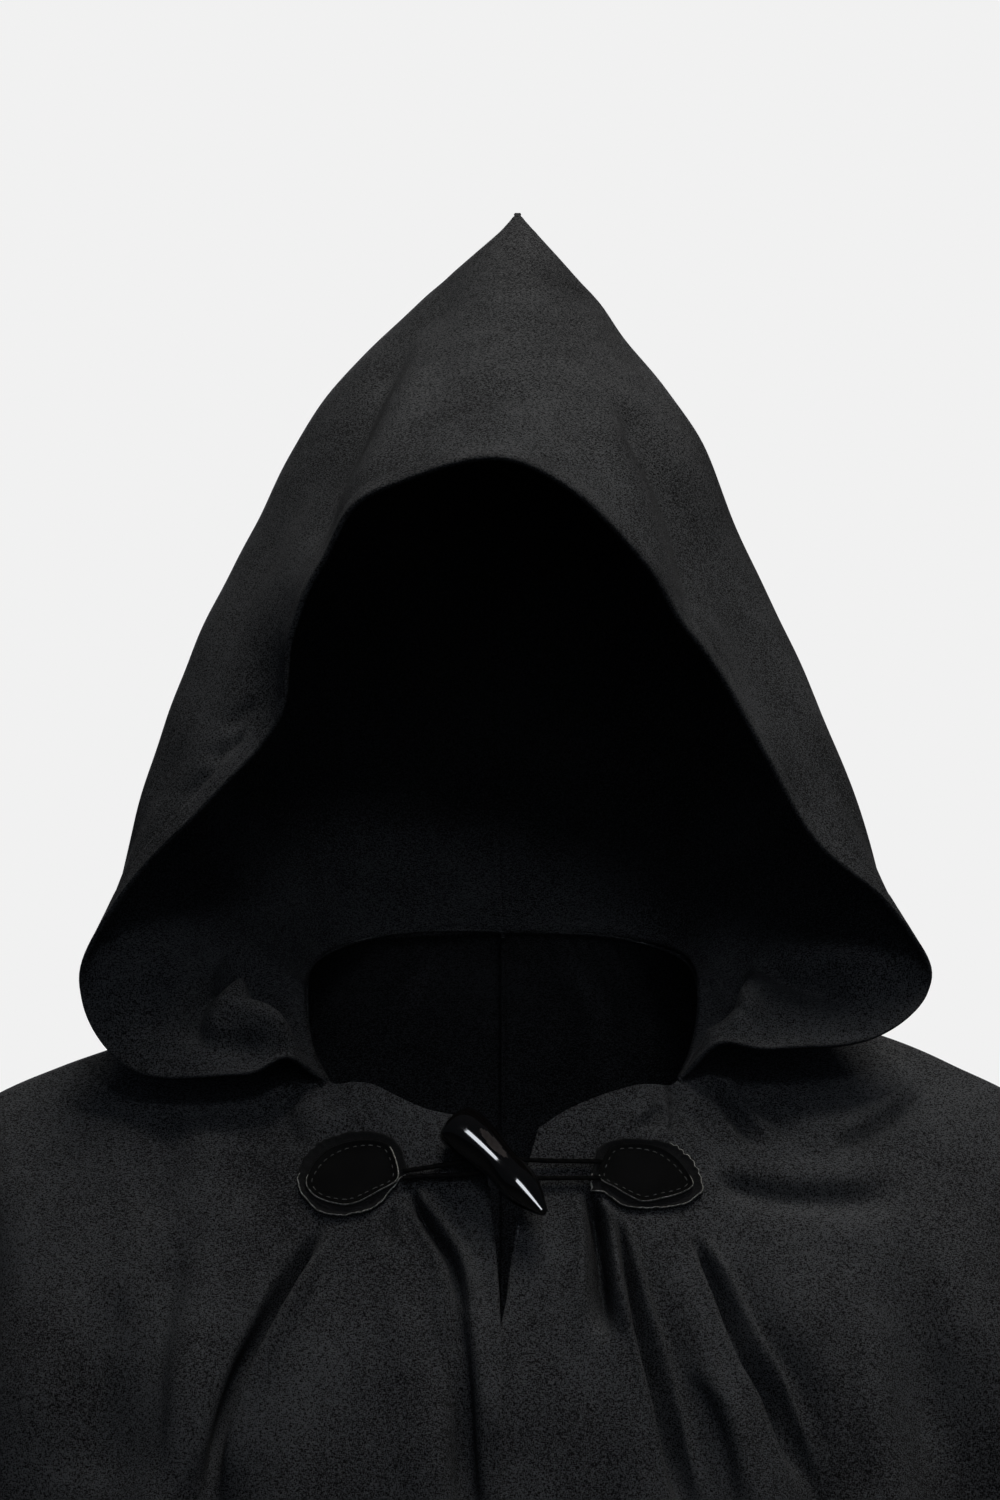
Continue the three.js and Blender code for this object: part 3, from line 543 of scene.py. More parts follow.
def hoodGrid(across, rounds):
    points = through(np.arange(6) / 4, hoodTable(across), rounds)
    swayZ, swayX = np.array(hoodSway, float).T
    sway = through(swayZ, swayX, np.clip(points[..., 2], 60, 400))
    points[..., 0] += sway * ease(rounds * 4)[:, None]
    for side in (-1, 1):
        angle = through(np.arange(5) / 4, hoodNeckAngles, rounds)
        seam = drapePoints(side, angle, np.zeros_like(angle))
        end = points[:, -1 if side > 0 else 0]
        share = ease((across * side - neckBlend) / (1 - neckBlend))
        points = points + (seam - end)[:, None, :] * share[None, :, None]
    return points


def dressedHood(columns, rows):
    across = np.linspace(-1, 1, columns)
    rounds = np.linspace(0, 1, rows)
    points = hoodGrid(across, rounds)
    normals = gridNormals(points, 1)
    centre = points.mean(axis=(0, 1))
    middle = normals[rows // 2, columns // 2]
    if np.dot(middle, points[rows // 2, columns // 2] - centre) < 0:
        normals = -normals
    x, y, z = points[..., 0], points[..., 1], points[..., 2]
    outside = ease((0.15 - normals[..., 1]) / 0.4)
    seenX, seenZ = seenAt(points)
    push = creasePush(seenX, seenZ, hoodFrontCreases) * outside * (z > 100)
    sideways = ease((np.abs(normals[..., 0]) - 0.35) / 0.35) * ease((rounds - 0.12) / 0.1)[:, None]
    push += creasePush(y, z, hoodSideCreases) * sideways * ease((y - 10) / 40)
    lapel = ease((0.62 - rounds) / 0.15)[:, None] * ease((np.abs(across) - 0.6) / 0.1)[None, :]
    lapel = lapel * ease((1 - np.abs(across)) / 0.04)[None, :]
    fromEdge = arcLength(points, 0)
    lapel = lapel * (0.2 + 0.8 * ease(fromEdge / 18))
    push -= creasePush(seenX, seenZ, lapelCreases) * lapel
    calm = ease((400 - z) / 40) * (0.3 + 0.7 * ease(fromEdge / 40))
    push += (unevenness(points, 21, 110, 0.9) + unevenness(points, 24, 45, 0.35)) * calm
    fromSeam = fromEdge[-1:] - fromEdge
    push += hemLine(fromEdge, clothLook["hoodHem"])
    push -= 0.9 * np.exp(-((fromSeam / 1.8) ** 2))
    fromNeck = np.minimum(arcLength(points, 1), arcLength(points[:, ::-1], 1)[:, ::-1])
    push -= 1.1 * np.exp(-((fromNeck / 2.2) ** 2))
    pucker = np.sin(rounds * 70 + 2 * np.sin(rounds * 17))[:, None]
    pucker = pucker * np.exp(-fromNeck / 13) * ease(fromNeck / 4)
    push += 0.8 * pucker * ease((rounds - 0.1) / 0.1)[:, None]
    points = points + normals * push[..., None]
    # The crown runs up straight to its point.
    narrow = np.exp(-(((points[..., 2] - 350) / 26) ** 2)) * np.where(points[..., 0] < 0, 0.07, 0.12)
    points[..., 0] *= 1 - narrow
    # The lower edge goes on down inside the body, as its seam allowance.
    angle = through(np.arange(5) / 4, hoodNeckAngles, rounds)
    ends = []
    for side in (-1, 1):
        below = drapePoints(side, angle, np.full_like(angle, 0.006))
        inside = np.array([0, -4, 60]) - below
        inside[:, 2] = 0
        ends.append(below + 2.6 * inside / np.linalg.norm(inside, axis=1, keepdims=True))
    points = np.concatenate([ends[0][:, None], points, ends[1][:, None]], axis=1)
    fromEdge = np.concatenate([fromEdge[:, :1], fromEdge, fromEdge[:, -1:]], axis=1)
    return points, fromEdge


# The patches, seen from the front. Their outlines have u towards the toggle and v up.
patchShape = {
    "centreOut": 70,
    "centreUp": -37.5,
    "leatherRight": [(23.5, -0.5), (21, 11), (16, 15), (7, 15.6), (-2, 13.6), (-10.5, 8.6),
                     (-16, 1.5), (-17.6, -4.5), (-13, -10), (-3, -12.9), (5, -12), (15, -6.6)],
    "leatherLeft": [(27.5, -0.3), (25.5, 8), (22, 12.8), (15, 14.2), (7, 13.8), (0, 11.9),
                    (-7, 7.1), (-12, 1.1), (-14.6, -4.5), (-9, -8.1), (-0.6, -10.3), (7.5, -11.5),
                    (13, -9.5), (20, -5.3)],
    "backingRight": [(27.3, 2.6), (25, 12), (20, 18), (10, 20), (0, 19.4), (-10, 15.4), (-17.5, 9),
                     (-21.2, 1.6), (-21.7, -3.9), (-18, -10.5), (-10.7, -16.1), (-2.5, -17.4),
                     (6.4, -15.7), (14, -13.1), (20, -6.5), (24, -0.9)],
    "backingLeft": [(31, -3.9), (30.2, 6), (26, 14.4), (18, 16.9), (9.2, 16.9), (0, 15.5),
                    (-7, 13.3), (-12.7, 8.3), (-16.4, 3.3), (-18.4, -1.9), (-19, -7.3),
                    (-12.2, -11.9), (-4.4, -13.5), (3.6, -14.3), (12.8, -13.5), (18.8, -11.5),
                    (24.5, -8)],
}


patchCentre = np.array([2.0, 0.0])
patchReach = (26, 18)  # the cloth lies smooth this far round a patch


# One where a patch lies on the cloth, down to nothing round it.
def patchMask(x, z):
    u = patchShape["centreOut"] - np.abs(x) - patchCentre[0]
    v = z - patchShape["centreUp"]
    away = np.hypot(u / patchReach[0], v / patchReach[1])
    return 1 - ease((away - 0.95) / 0.3)


def meshFrom(name, points, faces):
    mesh = bpy.data.meshes.new(name)
    mesh.from_pydata((np.array(points) * mm).tolist(), [], faces)
    mesh.polygons.foreach_set("use_smooth", [True] * len(mesh.polygons))
    return mesh


def meshFromGrid(name, points):
    rows, columns = points.shape[:2]
    numbers = np.arange(rows * columns).reshape(rows, columns)
    corners = [numbers[:-1, :-1], numbers[1:, :-1], numbers[1:, 1:], numbers[:-1, 1:]]
    faces = np.stack(corners, -1).reshape(-1, 4)
    return meshFrom(name, points.reshape(-1, 3), faces.tolist())


def addObject(name, mesh, material):
    piece = bpy.data.objects.new(name, mesh)
    bpy.context.collection.objects.link(piece)
    if material:
        mesh.materials.append(material)
    return piece


def thicken(piece, double):
    group = piece.vertex_groups.new(name="double")
    for number, share in enumerate(double.ravel()):
        if share > 0.01:
            group.add([number], float(share), "REPLACE")
    solid = piece.modifiers.new("cloth thickness", "SOLIDIFY")
    solid.thickness = clothLook["hemThickness"] * mm
    solid.vertex_group = "double"
    solid.thickness_vertex_group = clothLook["thickness"] / clothLook["hemThickness"]
    solid.offset = -1
    solid.use_even_offset = False


def linear(hexColour):
    values = [int(hexColour[i:i + 2], 16) / 255 for i in (0, 2, 4)]
    return tuple(v / 12.92 if v <= 0.04045 else ((v + 0.055) / 1.055) ** 2.4 for v in values) + (1,)


def addNode(tree, kind, settings=None, inputs=None):
    node = tree.nodes.new(kind)
    for name, value in (settings or {}).items():
        setattr(node, name, value)
    for name, value in (inputs or {}).items():
        if isinstance(value, bpy.types.NodeSocket):
            tree.links.new(value, node.inputs[name])
        else:
            node.inputs[name].default_value = value
    return node


def newMaterial(name):
    material = bpy.data.materials.new(name)
    material.use_nodes = True
    tree = material.node_tree
    return material, tree, tree.nodes["Principled BSDF"]


def perMetre(millimetres):
    return 1000 / millimetres


# Fine wool cloth, woven close and pressed smooth: nearly no shine, a faint bloom of loose fibre
# at grazing angles, and a fine speckle from the fibres.
woolSetup = {
    "dark": "0a0a0b",
    "light": "343537",
    "threadWidth": 0.42,   # drawn coarser than the real cloth's, about 0.3, so that it shows
    "threadLength": 1.2,   # how far one thread keeps its tone before it goes under or changes
    "mottle": 60,          # size of the clouds of tone
    "handle": 22,          # size of the soft unevenness
    "lintSpacing": 38,
    "lintSize": 0.012,     # as a share of the spacing
    "lint": "7c7c78",
}


def makeWool():
    material, tree, shader = newMaterial("fineWool")
    place = addNode(tree, "ShaderNodeTexCoord").outputs["Object"]
    fine = perMetre(woolSetup["threadWidth"])
    long = perMetre(woolSetup["threadLength"])
    threads = []
    for stretch in ((fine, fine, long), (long, long, fine)):
        run = addNode(tree, "ShaderNodeMapping", {}, {"Vector": place, "Scale": stretch})
        threads.append(addNode(tree, "ShaderNodeTexNoise", {}, {
            "Vector": run.outputs["Vector"], "Scale": 1, "Detail": 2, "Roughness": 0.6}).outputs["Fac"])
    weave = addNode(tree, "ShaderNodeMath", {"operation": "ADD"}, {0: threads[0], 1: threads[1]})
    mottle = addNode(tree, "ShaderNodeTexNoise", {}, {
        "Vector": place, "Scale": perMetre(woolSetup["mottle"]), "Detail": 3, "Roughness": 0.6})
    together = addNode(tree, "ShaderNodeMath", {"operation": "MULTIPLY_ADD"}, {
        0: mottle.outputs["Fac"], 1: 0.3, 2: weave.outputs[0]})
    tone = addNode(tree, "ShaderNodeMapRange", {}, {
        "Value": together.outputs[0], "From Min": 1.03, "From Max": 1.28, "To Min": 0, "To Max": 1})
    cloth = addNode(tree, "ShaderNodeMix", {"data_type": "RGBA"}, {
        0: tone.outputs["Result"], 6: linear(woolSetup["dark"]), 7: linear(woolSetup["light"])})
    cells = addNode(tree, "ShaderNodeTexVoronoi", {"feature": "F1"}, {
        "Vector": place, "Scale": perMetre(woolSetup["lintSpacing"]), "Randomness": 1})
    lint = addNode(tree, "ShaderNodeMath", {"operation": "LESS_THAN"}, {
        0: cells.outputs["Distance"], 1: woolSetup["lintSize"]})
    picked = addNode(tree, "ShaderNodeMath", {"operation": "MULTIPLY"}, {0: lint.outputs[0], 1: 0.35})
    colour = addNode(tree, "ShaderNodeMix", {"data_type": "RGBA"}, {
        0: picked.outputs[0], 6: cloth.outputs[2], 7: linear(woolSetup["lint"])})
    tree.links.new(colour.outputs[2], shader.inputs["Base Color"])
    fine = addNode(tree, "ShaderNodeBump", {}, {
        "Height": weave.outputs[0], "Strength": 0.5, "Distance": 0.0003})
    soft = addNode(tree, "ShaderNodeTexNoise", {}, {
        "Vector": place, "Scale": perMetre(woolSetup["handle"]), "Detail": 2, "Roughness": 0.5})
    handle = addNode(tree, "ShaderNodeBump", {}, {
        "Height": soft.outputs["Fac"], "Strength": 0.3, "Distance": 0.0012,
        "Normal": fine.outputs["Normal"]})
    tree.links.new(handle.outputs["Normal"], shader.inputs["Normal"])
    shader.inputs["Roughness"].default_value = 0.95
    shader.inputs["IOR"].default_value = 1.45
    shader.inputs["Specular IOR Level"].default_value = 0.02
    shader.inputs["Sheen Weight"].default_value = 0.004
    shader.inputs["Sheen Roughness"].default_value = 0.5
    return material


wool = makeWool()


def makeBody():
    pieces = []
    for name, side in (("cloakRight", -1), ("cloakLeft", 1)):
        points, fromFront, fromNeck, fromHem = dressedBody(side, 210, 190)
        fromHem = np.concatenate([fromHem, fromHem[:, -1:]], axis=1)
        frontShare = hemShare(fromFront, clothLook["frontHem"])
        double = np.maximum(frontShare, hemShare(fromHem, clothLook["bottomHem"]))
        if side < 0:
            points, double = points[:, ::-1], double[:, ::-1]
        mesh = meshFromGrid(name, points)
        piece = addObject(name, mesh, wool)
        thicken(piece, double)
        pieces.append(piece)
    return pieces


cloakRight, cloakLeft = makeBody()
print("body panels draped")


def makeHood():
    points, fromEdge = dressedHood(330, 96)
    mesh = meshFromGrid("cloakHood", points)
    piece = addObject("cloakHood", mesh, wool)
    thicken(piece, hemShare(fromEdge, clothLook["hoodHem"]))
    return piece


cloakHood = makeHood()
print("hood shaped")
for piece, node, flat, area in (
    (cloakRight, "body_right", (1.57, 1.57), 1.88),
    (cloakLeft, "body_left", (1.57, 1.57), 1.88),
    (cloakHood, "hood", (0.3, 0.88), None),
):
    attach(piece, "root")
    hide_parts(node)


# Loop cords: one strand out from the patch, round behind the toggle's waist and back.
# Points are across, up and out from the cloth, as in the solids.
cordSetup = {
    "diameter": 2.2,
    "right": [(-44.9, -34.2, 3), (-41, -33.7, 3), (-33, -32.4, 2.8), (-24, -31, 3),
              (-15, -29.4, 3.6), (-8, -28, 4), (-4.8, -29.2, 4), (-5, -32, 4), (-9, -34, 4),
              (-16, -35.3, 3.6), (-25, -36, 3), (-34, -36.2, 2.8), (-41, -36.8, 3),
              (-44.9, -37.4, 3)],
    "left": [(44.9, -30, 3), (41, -29.9, 3), (34, -29.8, 2.8), (24, -29.7, 3), (12, -29.3, 3.6),
             (3.5, -28.9, 4), (-0.8, -30.4, 4), (-0.6, -34, 4), (4.5, -36.4, 4), (13, -37.1, 3.6),
             (24, -37.2, 3), (34, -37.1, 2.8), (41, -37.1, 3), (44.9, -37.1, 3)],
}

bpy.context.view_layer.update()
frontTrees = {}
for side, piece in ((-1, cloakRight), (1, cloakLeft)):
    mesh = piece.data
    corners = [v.co for v in mesh.vertices]
    frontTrees[side] = BVHTree.FromPolygons(corners, [p.vertices[:] for p in mesh.polygons])


# The point and outward normal of the cloth that shows at a place in the front view, in millimetres.
def clothAt(side, x, z):
    start = Vector((x * mm, -1, z * mm))
    hit, normal, _, _ = frontTrees[side].ray_cast(start, Vector((0, 1, 0)))
    if hit is None:
        hit, normal, _, _ = frontTrees[side].find_nearest(start + Vector((0, 0.9, 0)))
    if normal.y > 0:
        normal = -normal
    return np.array(hit) / mm, np.array(normal)


def cordPoints(side, route):
    found = []
    for x, z, out in route:
        point, _ = clothAt(side, side * max(19, abs(x)), z)
        found.append((x, point[1] - out, z))
    return np.array(found)


def makeCord(name, side, route, material):
    points = cordPoints(side, route)
    keys = np.arange(len(points))
    fine = through(keys, points, np.linspace(0, len(points) - 1, 40))
    curve = bpy.data.curves.new(name, "CURVE")
    curve.dimensions = "3D"
    curve.bevel_depth = cordSetup["diameter"] / 2 * mm
    curve.bevel_resolution = 4
    curve.use_fill_caps = True
    spline = curve.splines.new("POLY")
    spline.points.add(len(fine) - 1)
    for target, point in zip(spline.points, fine):
        target.co = (*(point * mm), 1)
    curve.materials.append(material)
    piece = bpy.data.objects.new(name, curve)
    bpy.context.collection.objects.link(piece)
    length = np.linalg.norm(np.diff(fine, axis=0), axis=1).sum() * mm
    return piece, fine[0] * mm, float(length)


# Cotton cord, braided round and dyed black: dull, with no light on it but along its upper side.
def makeCordMaterial():
    material, tree, shader = newMaterial("braidedCord")
    place = addNode(tree, "ShaderNodeTexCoord").outputs["Object"]
    strands = addNode(tree, "ShaderNodeTexWave", {"wave_type": "BANDS", "bands_direction": "DIAGONAL"}, {
        "Vector": place, "Scale": perMetre(1.3) / 6.28, "Distortion": 0.6, "Detail": 1})
    bump = addNode(tree, "ShaderNodeBump", {}, {
        "Height": strands.outputs["Fac"], "Strength": 0.7, "Distance": 0.0004})
    tree.links.new(bump.outputs["Normal"], shader.inputs["Normal"])
    tone = addNode(tree, "ShaderNodeMix", {"data_type": "RGBA"}, {
        0: strands.outputs["Fac"], 6: linear("020202"), 7: linear("070707")})
    tree.links.new(tone.outputs[2], shader.inputs["Base Color"])
    shader.inputs["Roughness"].default_value = 0.85
    shader.inputs["Specular IOR Level"].default_value = 0.04
    return material


braidedCord = makeCordMaterial()
for name, node, side, way in (
    ("loopRight", "toggle_cord_right", -1, "right"),
    ("loopLeft", "toggle_cord_left", 1, "left"),
):
    piece, exitPoint, length = makeCord(name, side, cordSetup[way], braidedCord)
    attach(piece, "root")
    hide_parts(node)
    print(name, "length in mm", round(length / mm, 1))


# Cow leather, dyed black and buffed: fine pores, hardly any shine, a little paler and darker in soft
# clouds.
def makeLeather():
    material, tree, shader = newMaterial("dyedLeather")
    place = addNode(tree, "ShaderNodeTexCoord").outputs["Object"]
    pores = addNode(tree, "ShaderNodeTexVoronoi", {"feature": "DISTANCE_TO_EDGE"}, {
        "Vector": place, "Scale": perMetre(1.2)})
    cloud = addNode(tree, "ShaderNodeTexNoise", {}, {"Vector": place, "Scale": perMetre(9), "Detail": 4})
    tone = addNode(tree, "ShaderNodeMix", {"data_type": "RGBA"}, {
        0: cloud.outputs["Fac"], 6: linear("030303"), 7: linear("0a0a0a")})
    tree.links.new(tone.outputs[2], shader.inputs["Base Color"])
    bump = addNode(tree, "ShaderNodeBump", {}, {
        "Height": pores.outputs["Distance"], "Strength": 0.25, "Distance": 0.0003})
    tree.links.new(bump.outputs["Normal"], shader.inputs["Normal"])
    rough = addNode(tree, "ShaderNodeMapRange", {}, {
        "Value": cloud.outputs["Fac"], "To Min": 0.62, "To Max": 0.82})
    tree.links.new(rough.outputs["Result"], shader.inputs["Roughness"])
    shader.inputs["Specular IOR Level"].default_value = 0.03
    return material


# Cow horn, turned and polished: deep black, hard small highlights and a faint streak along the grain.
def makeHorn():
    material, tree, shader = newMaterial("polishedHorn")
    place = addNode(tree, "ShaderNodeTexCoord").outputs["Generated"]
    longGrain = addNode(tree, "ShaderNodeMapping", {}, {"Vector": place, "Scale": (3, 3, 14)})
    grain = addNode(tree, "ShaderNodeTexNoise", {}, {
        "Vector": longGrain.outputs["Vector"], "Scale": 2, "Detail": 4})
    tone = addNode(tree, "ShaderNodeMix", {"data_type": "RGBA"}, {
        0: grain.outputs["Fac"], 6: linear("020202"), 7: linear("080707")})
    tree.links.new(tone.outputs[2], shader.inputs["Base Color"])
    shader.inputs["Roughness"].default_value = 0.09
    shader.inputs["IOR"].default_value = 1.55
    shader.inputs["Specular IOR Level"].default_value = 1
    return material


# The small matt materials, each a grain of its own size between a dark tone and a light one.
grainSetup = {
    # Black felted cloth cut raw round the patch, duller and darker than the cloak.
    "rawBacking": dict(size=0.9, detail=2, tones=("040404", "111112"), roughness=0.95, specular=0.1,
                       relief=0.0004),
    # A cut edge, pale and rough. It is laid only on the lower rims and on the side toward the key light, so
    # its pale tone is a painted highlight where the lifted edge catches the light.
    "litCutEdge": dict(size=1.4, detail=3, tones=("3e3e3c", "7c7c79"), roughness=0.9, specular=0.1,
                    spread=(0.35, 0.65)),
    # Horn where a knife has cut a flat through the polish: matt and grey brown.
    "cutHorn": dict(size=2.2, detail=4, tones=("100e0e", "2e2b2b"), roughness=0.8, specular=0.04),
    # Waxed thread, grey from wear.
    "greyThread": dict(size=0.6, detail=2, tones=("1e1e1e", "444443"), roughness=0.7, specular=0.5),
}


def makeGrained(name):
    setup = grainSetup[name]
    material, tree, shader = newMaterial(name)
    place = addNode(tree, "ShaderNodeTexCoord").outputs["Object"]
    grain = addNode(tree, "ShaderNodeTexNoise", {}, {
        "Vector": place, "Scale": perMetre(setup["size"]), "Detail": setup["detail"]}).outputs["Fac"]
    low, high = setup.get("spread", (0, 1))
    share = addNode(tree, "ShaderNodeMapRange", {}, {"Value": grain, "From Min": low, "From Max": high})
    dark, light = setup["tones"]
    tone = addNode(tree, "ShaderNodeMix", {"data_type": "RGBA"}, {
        0: share.outputs["Result"], 6: linear(dark), 7: linear(light)})
    tree.links.new(tone.outputs[2], shader.inputs["Base Color"])
    if "relief" in setup:
        bump = addNode(tree, "ShaderNodeBump", {}, {
            "Height": grain, "Strength": 0.6, "Distance": setup["relief"]})
        tree.links.new(bump.outputs["Normal"], shader.inputs["Normal"])
    shader.inputs["Roughness"].default_value = setup["roughness"]
    shader.inputs["Specular IOR Level"].default_value = setup["specular"]
    return material


dyedLeather = makeLeather()
polishedHorn = makeHorn()
rawBacking, litCutEdge, cutHorn, greyThread = [makeGrained(name) for name in grainSetup]


# A closed ring of count points round a patch, grown outwards and with an uneven edge.
def patchRing(part, grow, count, wobble=0, seed=0):
    outline = np.array(patchShape[part], float)
    closed = np.vstack([outline[-2:], outline, outline[:3]])
    keys = np.arange(len(closed)) - 2.0
    fine = through(keys, closed, np.linspace(0, len(outline), count, endpoint=False))
    away = fine - patchCentre
    reach = np.linalg.norm(away, axis=1)
    turn = np.unwrap(np.arctan2(away[:, 1], away[:, 0]))
    rng = np.random.default_rng(seed)
    uneven = np.zeros(count)
    for waves in (5, 11, 17, 29, 41):
        uneven += np.sin(turn * waves + rng.uniform(0, 6.28)) * 1.6 / waves ** 0.5
    teeth = np.abs((turn * 10) % 2 - 1) * ease((-away[:, 0] - 4) / 6) * ease((away[:, 1] + 9) / 6)
    grown = reach + grow + wobble * (uneven * 0.5 + 1.4 * teeth - 0.5)
    return patchCentre + away * (grown / reach)[:, None]


def onCloth(side, u, v, height):
    x = side * (patchShape["centreOut"] - u)
    point, normal = clothAt(side, x, patchShape["centreUp"] + v)
    return point + normal * height


# A patch: the cloth or leather lies flat inside its stitches and its edge lifts a little all round.
def patchMesh(name, side, ring, pale, under, thickness, crown, flare):
    count = len(ring)
    verts, faces, edgeFaces = [], [], []
    shares = [0.25, 0.45, 0.62, 0.76, 0.84, 0.88, 0.92, 0.955, 0.98, 1.0]
    rings = len(shares)
    for height, top in ((under + thickness, True), (under, False)):
        verts.append(onCloth(side, *patchCentre, height + crown))
        for share in shares:
            lift = height + crown * (1 - share ** 2) + flare * ease((share - 0.84) / 0.16)
            if top and share == 1:
                lift -= 0.2 * thickness
            for p in patchCentre + (ring - patchCentre) * share:
                verts.append(onCloth(side, *p, lift))
    layer = 1 + count * rings
    for base in (0, layer):
        for j in range(count):
            k = (j + 1) % count
            faces.append((base, base + 1 + j, base + 1 + k))
            for i in range(rings - 1):
                a = base + 1 + i * count
                if base == 0 and i == rings - 2 and pale[j]:
                    edgeFaces.append(len(faces))
                faces.append((a + j, a + count + j, a + count + k, a + k))
    rim = 1 + (rings - 1) * count
    for j in range(count):
        k = (j + 1) % count
        if pale[j]:
            edgeFaces.append(len(faces))
        faces.append((rim + j, layer + rim + j, layer + rim + k, rim + k))
    mesh = meshFrom(name, verts, faces)
    # Edge faces marked pale take the second material, a painted highlight on the lit rim.
    for number in edgeFaces:
        mesh.polygons[number].material_index = 1
    return mesh


# Turns all faces outwards, after merging the points that lie together.
def cleanMesh(mesh, mergeWithin=0):
    work = bmesh.new()
    work.from_mesh(mesh)
    if mergeWithin:
        bmesh.ops.remove_doubles(work, verts=work.verts, dist=mergeWithin)
    bmesh.ops.recalc_face_normals(work, faces=work.faces)
    work.to_mesh(mesh)
    work.free()


# A thin round-ended stitch or fibre as a small closed spindle between points.
def spindle(points, radius, sides=5):
    points = np.array(points, float)
    verts, faces = [], []
    ways = np.gradient(points, axis=0)
    for i, (point, way) in enumerate(zip(points, ways)):
        way = way / np.linalg.norm(way)
        across = np.cross(way, [0.3, 0.9, 0.1])
        across /= np.linalg.norm(across)
        other = np.cross(way, across)
        share = i / (len(points) - 1)
        r = radius * max(0.25, math.sin(math.pi * (0.12 + 0.76 * share)))
        for k in range(sides):
            turn = 2 * math.pi * k / sides
            verts.append(point + r * (across * math.cos(turn) + other * math.sin(turn)))
    for i in range(len(points) - 1):
        for k in range(sides):
            n = (k + 1) % sides
            faces.append((i * sides + k, i * sides + n, (i + 1) * sides + n, (i + 1) * sides + k))
    faces.append(tuple(range(sides))[::-1])
    faces.append(tuple((len(points) - 1) * sides + k for k in range(sides)))
    return verts, faces


def meshFromSpindles(name, spindles):
    verts, faces = [], []
    for v, f in spindles:
        base = len(verts)
        verts += v
        faces += [tuple(i + base for i in face) for face in f]
    return meshFrom(name, verts, faces)


patchLook = {
    "backingThickness": 1.0,
    "leatherThickness": 1.4,
    "edgeLift": 1.3,
    "stitchLength": 2.6,
    "stitchGap": 1.0,
    "stitchRadius": 0.2,
    "stitchInset": 2.6,
    "fibres": 90,
    "fibreLength": (0.5, 1.5),
    "fibreRadius": 0.11,
}


def makePatch(side, name):
    rng = np.random.default_rng(31 + side)
    look = patchLook
    backingEdge = patchRing(f"backing{name}", 0, 180, 0.55, 3 + side)
    leatherEdge = patchRing(f"leather{name}", 0, 120, 0.1, 7 + side)
    # The edge is painted pale below and on the side toward the key light: a painted highlight where the
    # lifted rim catches the light.
    litRimBacking = backingEdge[:, 1] < 1
    litRimLeather = leatherEdge[:, 1] < 0
    if side > 0:
        litRimBacking |= backingEdge[:, 0] < -4
    else:
        litRimLeather |= leatherEdge[:, 0] > 20
    backing = addObject(f"patchBacking{name}", patchMesh(
        f"patchBacking{name}", side, backingEdge, litRimBacking, 0.1, look["backingThickness"], 0,
        look["edgeLift"]), rawBacking)
    over = look["backingThickness"] + 0.2
    leather = addObject(f"patchLeather{name}", patchMesh(
        f"patchLeather{name}", side, leatherEdge, litRimLeather, over, look["leatherThickness"], 0.5,
        look["edgeLift"]), dyedLeather)
    # The second material, on the faces marked pale, is the painted highlight of the lit rims.
    for piece in (backing, leather):
        piece.data.materials.append(litCutEdge)
        cleanMesh(piece.data)
    # Stitches just inside the leather's edge.
    ring = patchRing(f"leather{name}", -look["stitchInset"], 400)
    looped = np.vstack([ring, ring[:1]])
    marks = np.concatenate([[0], np.cumsum(np.linalg.norm(np.diff(looped, axis=0), axis=1))])
    count = int(marks[-1] / (look["stitchLength"] + look["stitchGap"]))
    top = over + look["leatherThickness"]
    spindles = []
    for i in range(count):
        ats = i * marks[-1] / count + np.linspace(0, look["stitchLength"] * rng.uniform(0.75, 1.1), 5)
        us = np.interp(ats % marks[-1], marks, looped[:, 0])
        vs = np.interp(ats % marks[-1], marks, looped[:, 1])
        lifts = top + 0.35 + np.array([-0.5, 0.05, 0.15, 0.05, -0.5])
        path = [onCloth(side, u, v, h) for u, v, h in zip(us, vs, lifts)]
        spindles.append(spindle(path, look["stitchRadius"]))
    threads = meshFromSpindles(f"patchStitches{name}", spindles)
    stitches = addObject(f"patchStitches{name}", threads, greyThread)
    # Loose fibres stand out round the raw edge.
    fibres = []
    for i in range(look["fibres"]):
        at = backingEdge[int(rng.uniform(0, 180)) % 180]
        out = (at - patchCentre) / np.linalg.norm(at - patchCentre)
        lean = np.array([-out[1], out[0]]) * rng.normal(0, 0.6)
        size = rng.uniform(*look["fibreLength"])
        height = 0.1 + look["edgeLift"] + rng.uniform(0.2, 0.9)
        points = []
        for t in (0, 0.5, 1):
            u, v = at - out * 0.5 + (out + lean * t) * size * t
            points.append(onCloth(side, u, v, height + 0.3 * t * rng.normal()))
        fibres.append(spindle(points, look["fibreRadius"], 3))
    fringe = addObject(f"patchFray{name}", meshFromSpindles(f"patchFray{name}", fibres), rawBacking)
    node = name.lower()
    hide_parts(f"patch_backing_{node}")
    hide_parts(f"patch_leather_{node}")
    for piece, slot in (
        (backing, "patch_cloth"),
        (leather, "leather"),
        (stitches, "patch_cloth"),
        (fringe, "patch_cloth"),
    ):
        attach(piece, "root")


makePatch(-1, "Right")
makePatch(1, "Left")
print("patches sewn")


# The horn toggle, a tapered tooth with a carved waist for the cords and a flat cut beside it.
# The profile gives the radius at each share of the length.
toggleSetup = {
    "thickEnd": (-22.5, -10.5),
    "thinEnd": (19.5, -51.5),
    "behind": 14,
    "bend": 1.6,
    "profile": [(0, 0), (0.004, 4), (0.014, 7), (0.035, 9.2), (0.07, 10.4), (0.13, 10.8),
                (0.22, 10.5), (0.3, 9.8), (0.38, 8.9), (0.46, 8.2), (0.53, 8), (0.6, 8.2),
                (0.67, 8.5), (0.73, 8.3), (0.79, 7.4), (0.86, 5.8), (0.92, 4.1), (0.965, 2.7),
                (0.987, 1.7), (0.997, 0.8), (1, 0)],
    "flat": dict(start=0.22, end=0.54, turn=34, depth=0.4),
}


